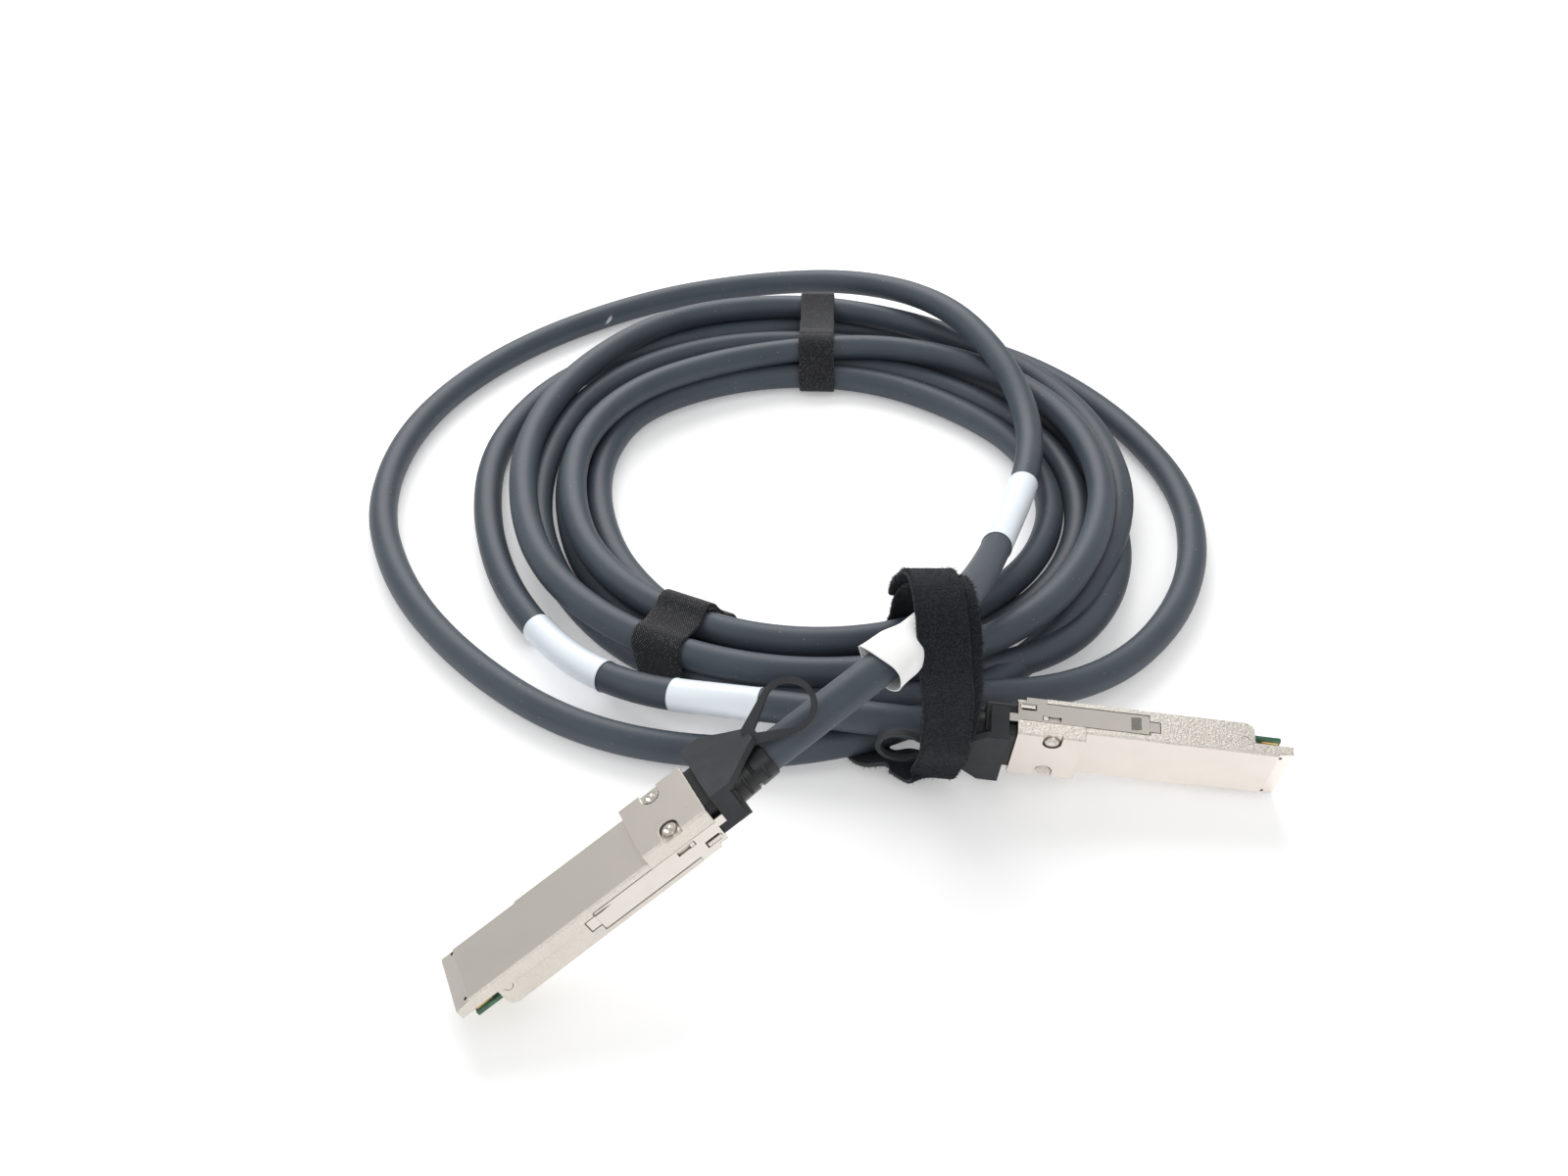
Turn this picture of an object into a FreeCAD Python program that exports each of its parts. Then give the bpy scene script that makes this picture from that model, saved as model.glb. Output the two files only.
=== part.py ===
import FreeCAD, Part
import math
import os

os.makedirs("parts", exist_ok=True)
V = FreeCAD.Vector

# Every size is in millimetres. The working origin is on the floor inside the coil and +Z is up;
# the last step moves all pieces so that the stated frame's origin is met.

# How far a cutting solid runs past what it cuts
OVER = 1.0

# Cable
CABLE_D = 8.5
CABLE_R = CABLE_D / 2
TUBE_SIDES = 16
BEND_SHARE = 0.45
FLOOR_GAP = 0.35
FLOOR_Z = CABLE_R + FLOOR_GAP
REST_GAP = 0.1

# Coil of the tied turns: a ring of rounded section
COIL_X, COIL_Y = 4.0, -6.0
COIL_R_IN = 64.0
COIL_R_OUT = 101.0
COIL_LIFT = 2.4
COIL_H = 16.0
COIL_CORNER = 6.0
COIL_TOP = COIL_LIFT + COIL_H
ON_COIL_Z = COIL_TOP + CABLE_R + REST_GAP

# Plug body, the small four-lane pluggable outline
NOSE_L = 50.0
HEAD_L = 16.5
BODY_W = 18.35
HEAD_W = 18.6
BODY_H = 8.5
HEAD_RISE = 2.4
PARTING_Z = -3.6
WALL = 1.3
EDGE = 0.4
LOWER_NOSE_GAP = 9.0
LOWER_NOSE_R = 2.2
KEY_L, KEY_W, KEY_DEPTH = 20.0, 0.9, 1.0
LEDGE_L, LEDGE_DEPTH, LEDGE_FALL = 3.4, 0.3, 0.4
DIMPLE_R, DIMPLE_DEPTH, DIMPLE_INSET, DIMPLE_BACK = 0.45, 0.8, 1.5, 2.9
NOSE_WALL, NOSE_WALL_LOW = 0.8, -3.0
TOOTH_R, TOOTH_BACK, TOOTH_GAP = 0.9, 2.4, 0.12
REAR_WALL = 2.0
WIRE_DOOR_W, WIRE_DOOR_LOW, WIRE_DOOR_HIGH = 11.0, -7.15, -1.6

# Head rivets
RIVET_X, RIVET_Y = -7.8, 6.45
RIVET_HEAD_R, RIVET_HEAD_H = 1.7, 0.65
RIVET_CUP_R, RIVET_CUP_BASE_R, RIVET_CUP_DEPTH = 1.1, 0.5, 0.35
RIVET_PIN_R, RIVET_PIN_L = 0.9, 1.6
SINK_R, SINK_DEPTH = 2.3, 0.9

# Paddle card and its contacts
CARD_SIDE_GAP = 0.12
CARD_T = 1.0
CARD_MID_Z = -5.3
CARD_BACK = 2.5
CARD_REAR_X = -7.0
PAD_COUNT = 19
PAD_PITCH, PAD_W, PAD_L, PAD_T = 0.8, 0.54, 4.0, 0.1
PAD_BACK = 0.4

# Release slider
SLIDER_T = 0.5
SLIDER_GAP = 0.06
POCKET_GAP = 0.2
SLIDER_TIP_X = 18.0
SLIDER_LOW, SLIDER_HIGH = -7.1, -1.8
TIP_L, TIP_LOW, TIP_HIGH = 2.6, -5.4, -2.6
RAMP_BACK, RAMP_TOP, RAMP_RISE = 7.0, 4.6, 0.4
RAMP_LOW, RAMP_HIGH = -6.3, -2.5
TRAVEL = 3.0
STOP_GAP = 0.2
STOP_L = 1.1
STOP_LOW, STOP_HIGH = -3.5, -2.4
STOP_REAR_X = -10.3
BRIDGE_FRONT_X, BRIDGE_L = -9.5, 5.0
BRIDGE_UNDER = 0.08
TONGUE_L = 5.5
TONGUE_LOW, TONGUE_HIGH = -3.4, -1.2
LANCE_R, LANCE_L, LANCE_Z = 0.55, 3.6, -5.6
LANCE_ROOT, LANCE_HOLD, LANCE_SLOT = 0.9, 0.4, 0.35

# Strain relief
BLOCK_L = 7.5
BLOCK_W = 15.6
BLOCK_LOW, BLOCK_HIGH = -7.6, 1.8
BLOCK_EDGE = 1.2
AXIS_Z = (BLOCK_LOW + BLOCK_HIGH) / 2
BOOT_L = 10.0
BOOT_R0, BOOT_R1 = 5.4, 4.8
BOOT_EDGE = 0.3
SLOT_ROWS, SLOTS_ROUND = 3, 4
SLOT_W, SLOT_LONG, SLOT_FLOOR = 0.8, 5.4, 0.25
CABLE_IN_BOOT = 4.0

# Wire pairs between the cable's end and the card
PAIR_R = 0.65
PAIR_SIDES = 8
PAIR_COUNT = 4
PAIR_PITCH = 1.9
PAIR_LAP = 2.0

# Pull tab
EAR_L = 4.4
EAR_BACK_GAP = 2.2
EAR_IN_GAP = 0.2
EAR_OUT = 9.9
EAR_LOW = -4.4
TAB_OVER_BLOCK = 1.4
TAB_T = 1.7
PLATE_L = 5.2
TAPER_L = 9.6
WAIST_L, WAIST_W = 5.4, 10.6
NECK_W = 4.2
NECK_T = 1.4
LOOP_R, LOOP_BAND = 6.4, 1.3
LOOP_REACH, LOOP_TOUCH_DEG = 11.5, 69.0
LOOP_SINK = 1.2

# Ties, strap and labels
TIE_T = 1.1
BACK_TIE_W, BACK_TIE_DEG = 12.0, 86.0
FRONT_TIE_W, FRONT_TIE_DEG = 13.0, 246.0
STRAP_W, STRAP_T = 12.0, 2.0
STRAP_X, STRAP_FRONT_Y, STRAP_SKEW = 28.0, -128.0, 0.13
LABEL_T = 0.15
FLAG_T = 0.35
# Where each label begins and ends, as shares of the bend that it lies on
LEFT_SERIAL_SHARES, RIGHT_SERIAL_SHARES = (0.48, 1.0), (0.20, 0.70)
PART_SHARES, FLAG_SHARES = (0.52, 0.95), (0.24, 0.60)

# Where the plugs lie: origin on the nose's top plane at the head's front,
# the way to the nose, and the way out of the broad top face.
LEFT_PLUG_X, LEFT_PLUG_Y, LEFT_PLUG_Z = -37.1, -168.3, 30.4
LEFT_X, LEFT_Z = V(-0.800, -0.439, -0.409), V(-0.468, 0.030, 0.883)
RIGHT_PLUG_X, RIGHT_PLUG_Y, RIGHT_PLUG_Z = 67.8, -125.0, 12.4
RIGHT_X, RIGHT_Z = V(0.992, -0.106, -0.062), V(-0.117, -0.969, -0.218)
LEFT_AT = V(LEFT_PLUG_X, LEFT_PLUG_Y, LEFT_PLUG_Z)
RIGHT_AT = V(RIGHT_PLUG_X, RIGHT_PLUG_Y, RIGHT_PLUG_Z)
# How each finger loop stands: tilt up from the plate, then twist about its own length.
LEFT_TILT, LEFT_TWIST = 2.0, -40.0
RIGHT_TILT, RIGHT_TWIST = 0.0, 0.0


def box(x0, x1, y0, y1, z0, z1):
    """Box between two corners."""
    return Part.makeBox(x1 - x0, y1 - y0, z1 - z0, V(x0, y0, z0))


def bar(points, x0, x1):
    """Closed (y, z) outline pushed along X from x0 to x1."""
    pts = [V(x0, y, z) for y, z in points]
    face = Part.Face(Part.makePolygon(pts + pts[:1]))
    return face.extrude(V(x1 - x0, 0, 0))


def topped(half, low, high, edge):
    """(y, z) outline of a block with its two upper edges broken."""
    return [(-half, low), (half, low), (half, high - edge), (half - edge, high),
            (-half + edge, high), (-half, high - edge)]


def ring_wire(at, way, radius, sides):
    """Regular outline with its corners on a circle, square to a direction."""
    across = way.cross(V(0, 0, 1))
    across.normalize()
    up = across.cross(way)
    up.normalize()
    corners = []
    for i in range(sides):
        turn = 2 * math.pi * (i + 0.5) / sides
        corners.append(at + across * (radius * math.cos(turn)) + up * (radius * math.sin(turn)))
    return Part.makePolygon(corners + corners[:1])


def both_sides(shape):
    """The shape and its mirror image across the plug's XZ plane."""
    return [shape, shape.mirror(V(0, 0, 0), V(0, 1, 0))]


def frame_of(at, x_way, z_way):
    """Placement of a plug from its origin and two of its directions."""
    x = V(x_way)
    x.normalize()
    z = z_way - x * z_way.dot(x)
    z.normalize()
    y = z.cross(x)
    m = FreeCAD.Matrix(x.x, y.x, z.x, at.x, x.y, y.y, z.y, at.y, x.z, y.z, z.z, at.z, 0, 0, 0, 1)
    return FreeCAD.Placement(m)


LEFT, RIGHT = frame_of(LEFT_AT, LEFT_X, LEFT_Z), frame_of(RIGHT_AT, RIGHT_X, RIGHT_Z)

half_w = BODY_W / 2
inner_w = half_w - WALL
pocket_in = half_w - SLIDER_T - SLIDER_GAP
arm_in, arm_out = pocket_in + SLIDER_GAP / 2, half_w - SLIDER_GAP / 2
rear_x = -HEAD_L
lower_front_x = NOSE_L - LOWER_NOSE_GAP
side_out = HEAD_W / 2 + OVER
bridge_rear_x = BRIDGE_FRONT_X - BRIDGE_L
bridge_low = -BODY_H + BRIDGE_UNDER
bridge_high = bridge_low + SLIDER_T


def arm_pocket(low, high):
    """Room in one side of a shell for the slider's arm and its stepped tip, over a height range."""
    arm = box(rear_x - OVER, SLIDER_TIP_X - TIP_L + POCKET_GAP, pocket_in, side_out,
              max(low, SLIDER_LOW - POCKET_GAP), min(high, SLIDER_HIGH + POCKET_GAP))
    tip = box(rear_x, SLIDER_TIP_X + POCKET_GAP, pocket_in, side_out,
              max(low, TIP_LOW - POCKET_GAP), min(high, TIP_HIGH + POCKET_GAP))
    return arm.fuse(tip)


def tooth(radius):
    """Rounded tooth at the parting line in one side wall, near the lower shell's front."""
    at = V(lower_front_x - TOOTH_BACK, inner_w, PARTING_Z)
    return Part.makeCylinder(radius, WALL, at, V(0, 1, 0))


def upper_shell():
    """Cast upper shell: nose, raised head, mouth, key, ledge, rivet seats and slider pockets."""
    shell = bar(topped(half_w, PARTING_Z, 0, EDGE), 0, NOSE_L)
    shell = shell.fuse(bar(topped(HEAD_W / 2, PARTING_Z, HEAD_RISE, EDGE), rear_x, 0))
    shell = shell.cut(box(rear_x + REAR_WALL, NOSE_L + OVER, -inner_w, inner_w, PARTING_Z - OVER, -WALL))
    shell = shell.cut(box(rear_x - OVER, rear_x + REAR_WALL + OVER, -WIRE_DOOR_W / 2, WIRE_DOOR_W / 2,
                          PARTING_Z - OVER, WIRE_DOOR_HIGH))
    shell = shell.cut(box(NOSE_L - KEY_L, NOSE_L + OVER, -half_w - OVER, -half_w + KEY_W, -KEY_DEPTH, OVER))
    ledge = [V(NOSE_L - LEDGE_L, -side_out, OVER), V(NOSE_L - LEDGE_L, -side_out, -LEDGE_DEPTH),
             V(NOSE_L, -side_out, -LEDGE_DEPTH - LEDGE_FALL), V(NOSE_L, -side_out, OVER)]
    shell = shell.cut(Part.Face(Part.makePolygon(ledge + ledge[:1])).extrude(V(0, 2 * side_out, 0)))
    nose_in = half_w - NOSE_WALL
    shell = shell.cut(box(lower_front_x, NOSE_L + OVER, -nose_in, nose_in, PARTING_Z - OVER, -WALL))
    shell = shell.cut(box(lower_front_x, NOSE_L + OVER, -side_out, side_out, PARTING_Z - OVER, NOSE_WALL_LOW))
    for side in (-1, 1):
        at = V(NOSE_L - DIMPLE_BACK, side * (half_w - DIMPLE_INSET), -DIMPLE_DEPTH)
        shell = shell.cut(Part.makeCylinder(DIMPLE_R, DIMPLE_DEPTH + OVER, at))
        seat_z = HEAD_RISE - SINK_DEPTH
        centre = V(RIVET_X, side * RIVET_Y, seat_z)
        shell = shell.cut(Part.makeCylinder(SINK_R, SINK_DEPTH + OVER, centre))
        edge_y = sorted((side * RIVET_Y, side * side_out))
        shell = shell.cut(box(RIVET_X - SINK_R, RIVET_X + SINK_R, edge_y[0], edge_y[1],
                              seat_z, HEAD_RISE + OVER))
        shell = shell.cut(Part.makeCylinder(RIVET_PIN_R, RIVET_PIN_L + OVER, centre - V(0, 0, RIVET_PIN_L)))
    stop = box(STOP_REAR_X, STOP_REAR_X + STOP_L, pocket_in - WALL / 2, arm_out, STOP_LOW, STOP_HIGH)
    for pocket, boss in zip(both_sides(arm_pocket(PARTING_Z - OVER, 0)), both_sides(stop)):
        shell = shell.cut(pocket).fuse(boss)
    for stud in both_sides(tooth(TOOTH_R)):
        shell = shell.fuse(stud)
    return shell.removeSplitter()


def lower_shell():
    """Cast lower shell: a shallow tray with a rounded front, slider pockets and a bridge recess."""
    tray = box(rear_x, lower_front_x, -half_w, half_w, -BODY_H, PARTING_Z)
    front = [e for e in tray.Edges if all(abs(v.X - lower_front_x) < 1e-6 and abs(v.Z + BODY_H) < 1e-6
                                          for v in e.Vertexes)]
    tray = tray.makeFillet(LOWER_NOSE_R, front)
    tray = tray.cut(box(rear_x + REAR_WALL, lower_front_x + OVER, -inner_w, inner_w,
                        -BODY_H + WALL, PARTING_Z + OVER))
    tray = tray.cut(box(rear_x - OVER, rear_x + REAR_WALL + OVER, -WIRE_DOOR_W / 2, WIRE_DOOR_W / 2,
                        WIRE_DOOR_LOW, PARTING_Z + OVER))
    pocket = arm_pocket(-BODY_H, PARTING_Z + OVER)
    notch = tooth(TOOTH_R + TOOTH_GAP)
    leg = box(rear_x - OVER, BRIDGE_FRONT_X + SLIDER_GAP, pocket_in, side_out, -BODY_H - OVER, SLIDER_LOW)
    for one in both_sides(pocket) + both_sides(notch) + both_sides(leg):
        tray = tray.cut(one)
    tray = tray.cut(box(rear_x - OVER, BRIDGE_FRONT_X + SLIDER_GAP, -side_out, side_out,
                        -BODY_H - OVER, bridge_high + SLIDER_GAP))
    return tray.removeSplitter()


def paddle_card():
    """Circuit card whose wider front edge stands just behind the nose, clear of the lower shell."""
    low, high = CARD_MID_Z - CARD_T / 2, CARD_MID_Z + CARD_T / 2
    half, front_half = inner_w - CARD_SIDE_GAP, half_w - NOSE_WALL - CARD_SIDE_GAP
    card = box(CARD_REAR_X, NOSE_L - CARD_BACK, -half, half, low, high)
    front = box(lower_front_x + CARD_SIDE_GAP, NOSE_L - CARD_BACK, -front_half, front_half, low, high)
    return card.fuse(front).removeSplitter()


def contact_pads():
    """Two rows of contacts, on both faces of the card's front edge."""
    x1 = NOSE_L - CARD_BACK - PAD_BACK
    pads = []
    for z in (CARD_MID_Z + CARD_T / 2, CARD_MID_Z - CARD_T / 2 - PAD_T):
        for i in range(PAD_COUNT):
            y = (i - (PAD_COUNT - 1) / 2) * PAD_PITCH
            pads.append(box(x1 - PAD_L, x1, y - PAD_W / 2, y + PAD_W / 2, z, z + PAD_T))
    return Part.makeCompound(pads)


def rivets():
    """Two rivets with cupped heads in the head's open seats."""
    seat_z = HEAD_RISE - SINK_DEPTH
    out = []
    for side in (-1, 1):
        at = V(RIVET_X, side * RIVET_Y, seat_z)
        head = Part.makeCylinder(RIVET_HEAD_R, RIVET_HEAD_H, at)
        pin = Part.makeCylinder(RIVET_PIN_R, RIVET_PIN_L, at - V(0, 0, RIVET_PIN_L))
        cup_at = at + V(0, 0, RIVET_HEAD_H - RIVET_CUP_DEPTH)
        cup = Part.makeCone(RIVET_CUP_BASE_R, RIVET_CUP_R, RIVET_CUP_DEPTH, cup_at)
        out.append(head.fuse(pin).cut(cup).removeSplitter())
    return Part.makeCompound(out)


def latch_slider():
    """Stamped release slider: arms with ramps, stepped tips, windows and lances, tongues, and a bridge."""
    arm = box(rear_x, SLIDER_TIP_X - TIP_L, arm_in, arm_out, SLIDER_LOW, SLIDER_HIGH)
    arm = arm.fuse(box(SLIDER_TIP_X - TIP_L, SLIDER_TIP_X, arm_in, arm_out, TIP_LOW, TIP_HIGH))
    ramp_out = arm_out + RAMP_RISE
    ramp = [V(SLIDER_TIP_X - RAMP_BACK, arm_out, RAMP_LOW), V(SLIDER_TIP_X - RAMP_TOP, ramp_out, RAMP_LOW),
            V(SLIDER_TIP_X - TIP_L, ramp_out, RAMP_LOW), V(SLIDER_TIP_X - TIP_L, arm_out, RAMP_LOW)]
    arm = arm.fuse(Part.Face(Part.makePolygon(ramp + ramp[:1])).extrude(V(0, 0, RAMP_HIGH - RAMP_LOW)))
    window_front = STOP_REAR_X + STOP_L + TRAVEL + STOP_GAP
    arm = arm.cut(box(STOP_REAR_X - STOP_GAP, window_front, arm_in - OVER, arm_out + OVER,
                      STOP_LOW - STOP_GAP / 2, STOP_HIGH + STOP_GAP / 2))
    arm = arm.fuse(box(rear_x - TONGUE_L, rear_x, arm_in, arm_out, TONGUE_LOW, TONGUE_HIGH))
    arm = arm.fuse(box(bridge_rear_x, BRIDGE_FRONT_X, arm_in, arm_out, bridge_low, SLIDER_LOW))
    slot_half = LANCE_R + LANCE_SLOT
    slot_x = rear_x + LANCE_ROOT
    arm = arm.cut(box(slot_x, slot_x + LANCE_L, arm_in - OVER, arm_out + OVER,
                      LANCE_Z - slot_half, LANCE_Z + slot_half))
    lance_at = V(slot_x - LANCE_HOLD, arm_in + LANCE_R, LANCE_Z)
    arm = arm.fuse(Part.makeCylinder(LANCE_R, LANCE_L, lance_at, V(1, 0, 0)))
    left_arm, right_arm = both_sides(arm)
    bridge = box(bridge_rear_x, BRIDGE_FRONT_X, -arm_out, arm_out, bridge_low, bridge_high)
    return left_arm.fuse(bridge).fuse(right_arm).removeSplitter()


block_rear_x = rear_x - BLOCK_L
boot_end_x = block_rear_x - BOOT_L
cable_start_x = rear_x - CABLE_IN_BOOT


def strain_relief():
    """Moulded block behind the head running into a short tapering boot with staggered slots."""
    block = box(block_rear_x, rear_x, -BLOCK_W / 2, BLOCK_W / 2, BLOCK_LOW, BLOCK_HIGH)
    along = [e for e in block.Edges if abs(e.Vertexes[0].X - e.Vertexes[1].X) > BLOCK_L / 2]
    block = block.makeFillet(BLOCK_EDGE, along)
    line = [V(block_rear_x, 0, AXIS_Z), V(block_rear_x, 0, AXIS_Z + BOOT_R0),
            V(boot_end_x + BOOT_EDGE, 0, AXIS_Z + BOOT_R1), V(boot_end_x, 0, AXIS_Z + BOOT_R1 - BOOT_EDGE),
            V(boot_end_x, 0, AXIS_Z)]
    boot = Part.Face(Part.makePolygon(line + line[:1])).revolve(V(0, 0, AXIS_Z), V(1, 0, 0), 360)
    floor_r = CABLE_R + SLOT_FLOOR
    step = BOOT_L / (SLOT_ROWS + 1)
    for row in range(SLOT_ROWS):
        x = block_rear_x - (row + 1) * step
        for i in range(SLOTS_ROUND):
            slot = box(x - SLOT_W / 2, x + SLOT_W / 2, -SLOT_LONG / 2, SLOT_LONG / 2, floor_r, BOOT_R0 + OVER)
            slot.rotate(V(0, 0, 0), V(1, 0, 0), (i + row % 2 / 2) * 360 / SLOTS_ROUND)
            slot.translate(V(0, 0, AXIS_Z))
            boot = boot.cut(slot)
    relief = block.fuse(boot)
    bore_at = V(boot_end_x - OVER, 0, AXIS_Z)
    bore = Part.makeCylinder(CABLE_R, cable_start_x - boot_end_x + OVER, bore_at, V(1, 0, 0))
    door = box(cable_start_x, rear_x + OVER, -WIRE_DOOR_W / 2, WIRE_DOOR_W / 2, WIRE_DOOR_LOW, WIRE_DOOR_HIGH)
    return relief.cut(bore).cut(door).removeSplitter()


def wire_pairs():
    """Shielded pairs running from the cable's cut end onto both faces of the card."""
    out = []
    for z in (CARD_MID_Z + CARD_T / 2 + PAIR_R, CARD_MID_Z - CARD_T / 2 - PAIR_R):
        for i in range(PAIR_COUNT):
            at = V(cable_start_x, (i - (PAIR_COUNT - 1) / 2) * PAIR_PITCH, z)
            ring = ring_wire(at, V(1, 0, 0), PAIR_R, PAIR_SIDES)
            out.append(Part.Face(ring).extrude(V(CARD_REAR_X + PAIR_LAP - cable_start_x, 0, 0)))
    return Part.makeCompound(out)


def teardrop(radius, root, root_half):
    """Flat outline, as a face in XY: a disc at the loop's far end run into a narrow root."""
    disc = Part.Face(Part.Wire(Part.makeCircle(radius, V(-LOOP_REACH, 0, 0))))
    touch = math.radians(LOOP_TOUCH_DEG)
    reach, half = LOOP_REACH - radius * math.cos(touch), radius * math.sin(touch)
    pts = [V(-root, -root_half, 0), V(-root, root_half, 0), V(-reach, half, 0), V(-reach, -half, 0)]
    return disc.fuse(Part.Face(Part.makePolygon(pts + pts[:1]))).removeSplitter()


def pull_tab(tilt, twist):
    """Soft tab: plate over the block, ears over the slider's tongues, taper and finger loop."""
    front_x = rear_x - EAR_BACK_GAP
    plate_low = BLOCK_HIGH + TAB_OVER_BLOCK
    plate_high = plate_low + TAB_T
    ear_in = BLOCK_W / 2 + EAR_IN_GAP
    plate_rear = front_x - PLATE_L
    neck_x = plate_rear - TAPER_L
    half = [(front_x, EAR_OUT), (plate_rear, EAR_OUT), (plate_rear - WAIST_L, WAIST_W / 2),
            (neck_x, NECK_W / 2)]
    outline = [V(x, y, plate_low) for x, y in half] + [V(x, -y, plate_low) for x, y in reversed(half)]
    tab = Part.Face(Part.makePolygon(outline + outline[:1])).extrude(V(0, 0, TAB_T))
    tongue = box(rear_x - TONGUE_L, rear_x, arm_in, arm_out, TONGUE_LOW, TONGUE_HIGH)
    for ear, hole in zip(both_sides(box(front_x - EAR_L, front_x, ear_in, EAR_OUT, EAR_LOW, plate_high)),
                         both_sides(tongue)):
        tab = tab.fuse(ear.cut(hole))
    ring = teardrop(LOOP_R, 0, NECK_W / 2).cut(teardrop(LOOP_R - LOOP_BAND, LOOP_BAND * 2, NECK_W / 8))
    loop = ring.extrude(V(0, 0, NECK_T))
    loop.translate(V(LOOP_SINK, 0, -NECK_T / 2))
    loop.rotate(V(0, 0, 0), V(1, 0, 0), twist)
    loop.rotate(V(0, 0, 0), V(0, 1, 0), tilt)
    loop.translate(V(neck_x, 0, plate_low + TAB_T / 2))
    return tab.fuse(loop).removeSplitter()


def route(points):
    """Straight runs joined by tangent arcs: edges and the bend radii."""
    edges, radii, start = [], [], points[0]
    for before, at, after in zip(points, points[1:], points[2:]):
        a, b = at - before, after - at
        turn = a.getAngle(b)
        reach = BEND_SHARE * min(a.Length, b.Length)
        a.normalize()
        b.normalize()
        p, q = at - a * reach, at + b * reach
        radius = reach / math.tan(turn / 2)
        way = (b - a)
        way.normalize()
        mid = at + way * (radius / math.cos(turn / 2) - radius)
        edges += [Part.LineSegment(start, p).toShape(), Part.Arc(p, mid, q).toShape()]
        radii.append(radius)
        start = q
    edges.append(Part.LineSegment(start, points[-1]).toShape())
    return edges, radii


def tube(edges, radius):
    """Many-sided solid along a chain of tangent edges, its corners on the radius."""
    wire = Part.Wire(edges)
    first = edges[0]
    begin = first.valueAt(first.FirstParameter)
    way = first.tangentAt(first.FirstParameter)
    return wire.makePipeShell([ring_wire(begin, way, radius, TUBE_SIDES)], True, True)


def sleeve(arc, from_share, to_share, r_in, r_out):
    """Thin-walled sleeve on a share of one arc of a route, its flats on the radii."""
    lo, hi = arc.FirstParameter, arc.LastParameter
    at = [lo + (hi - lo) * s for s in (from_share, (from_share + to_share) / 2, to_share)]
    part_arc = [Part.Arc(*[arc.valueAt(t) for t in at]).toShape()]
    flat = math.cos(math.pi / TUBE_SIDES)
    return tube(part_arc, r_out / flat).cut(tube(part_arc, r_in / flat))


def coil_section(grow):
    """Outline of the coil's section in the XZ plane, corners broken, grown outwards by an amount."""
    x0, x1 = COIL_R_IN - grow, COIL_R_OUT + grow
    z0, z1 = COIL_LIFT - grow, COIL_TOP + grow
    cut = COIL_CORNER + grow * (2 - math.sqrt(2))
    line = [V(x0 + cut, 0, z0), V(x1 - cut, 0, z0), V(x1, 0, z0 + cut), V(x1, 0, z1 - cut),
            V(x1 - cut, 0, z1), V(x0 + cut, 0, z1), V(x0, 0, z1 - cut), V(x0, 0, z0 + cut)]
    return Part.makePolygon(line + line[:1])


def turned(face, degrees, start=0.0):
    """Face turned about the coil's axis from a starting angle."""
    solid = face.revolve(V(0, 0, 0), V(0, 0, 1), degrees)
    solid.rotate(V(0, 0, 0), V(0, 0, 1), start)
    solid.translate(V(COIL_X, COIL_Y, 0))
    return solid


def tie(width, at_deg):
    """Band of woven tie lying on the coil's section all round."""
    mean = (COIL_R_IN + COIL_R_OUT) / 2
    span = math.degrees(width / mean)
    face = Part.Face(coil_section(TIE_T)).cut(Part.Face(coil_section(0.0)))
    return turned(face.Faces[0], span, at_deg - span / 2)


def inset(points, by):
    """Closed outline moved inwards by an amount, each corner at the meeting of its moved sides."""
    out, n = [], len(points)
    for i in range(n):
        (ax, az), (bx, bz), (cx, cz) = points[i - 1], points[i], points[(i + 1) % n]
        l1, l2 = math.hypot(bx - ax, bz - az), math.hypot(cx - bx, cz - bz)
        n1 = ((bz - az) / l1, -(bx - ax) / l1)
        n2 = ((cz - bz) / l2, -(cx - bx) / l2)
        scale = by / (1 + n1[0] * n2[0] + n1[1] * n2[1])
        out.append((bx + (n1[0] + n2[0]) * scale, bz + (n1[1] + n2[1]) * scale))
    return out


# Outline of the loose strap's outer face, as (y, z), round the turns, the left lead and the right boot
STRAP_LINE = [(-118, 0.1), (-126, 2.2), (-131, 10), (-133, 20), (-134, 44), (-133.5, 57), (-125, 63.5),
              (-112, 61), (-99, 51), (-84, 36), (-66, 29), (-58.5, 21), (-57.5, 8), (-63, 0.1)]


def wide_strap():
    """Loose hook-and-loop band, a closed outline given its thickness and width."""
    outer = [V(STRAP_X - STRAP_SKEW * (y - STRAP_FRONT_Y), y, z) for y, z in STRAP_LINE]
    inner = [V(STRAP_X - STRAP_SKEW * (y - STRAP_FRONT_Y), y, z) for y, z in inset(STRAP_LINE, STRAP_T)]
    face = Part.Face(Part.makePolygon(outer + outer[:1])).cut(Part.Face(Part.makePolygon(inner + inner[:1])))
    return face.Faces[0].extrude(V(STRAP_W, 0, 0))


def on_axis(frame, x):
    """Point on a plug's cable axis."""
    return frame.multVec(V(x, 0, AXIS_Z))


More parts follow.
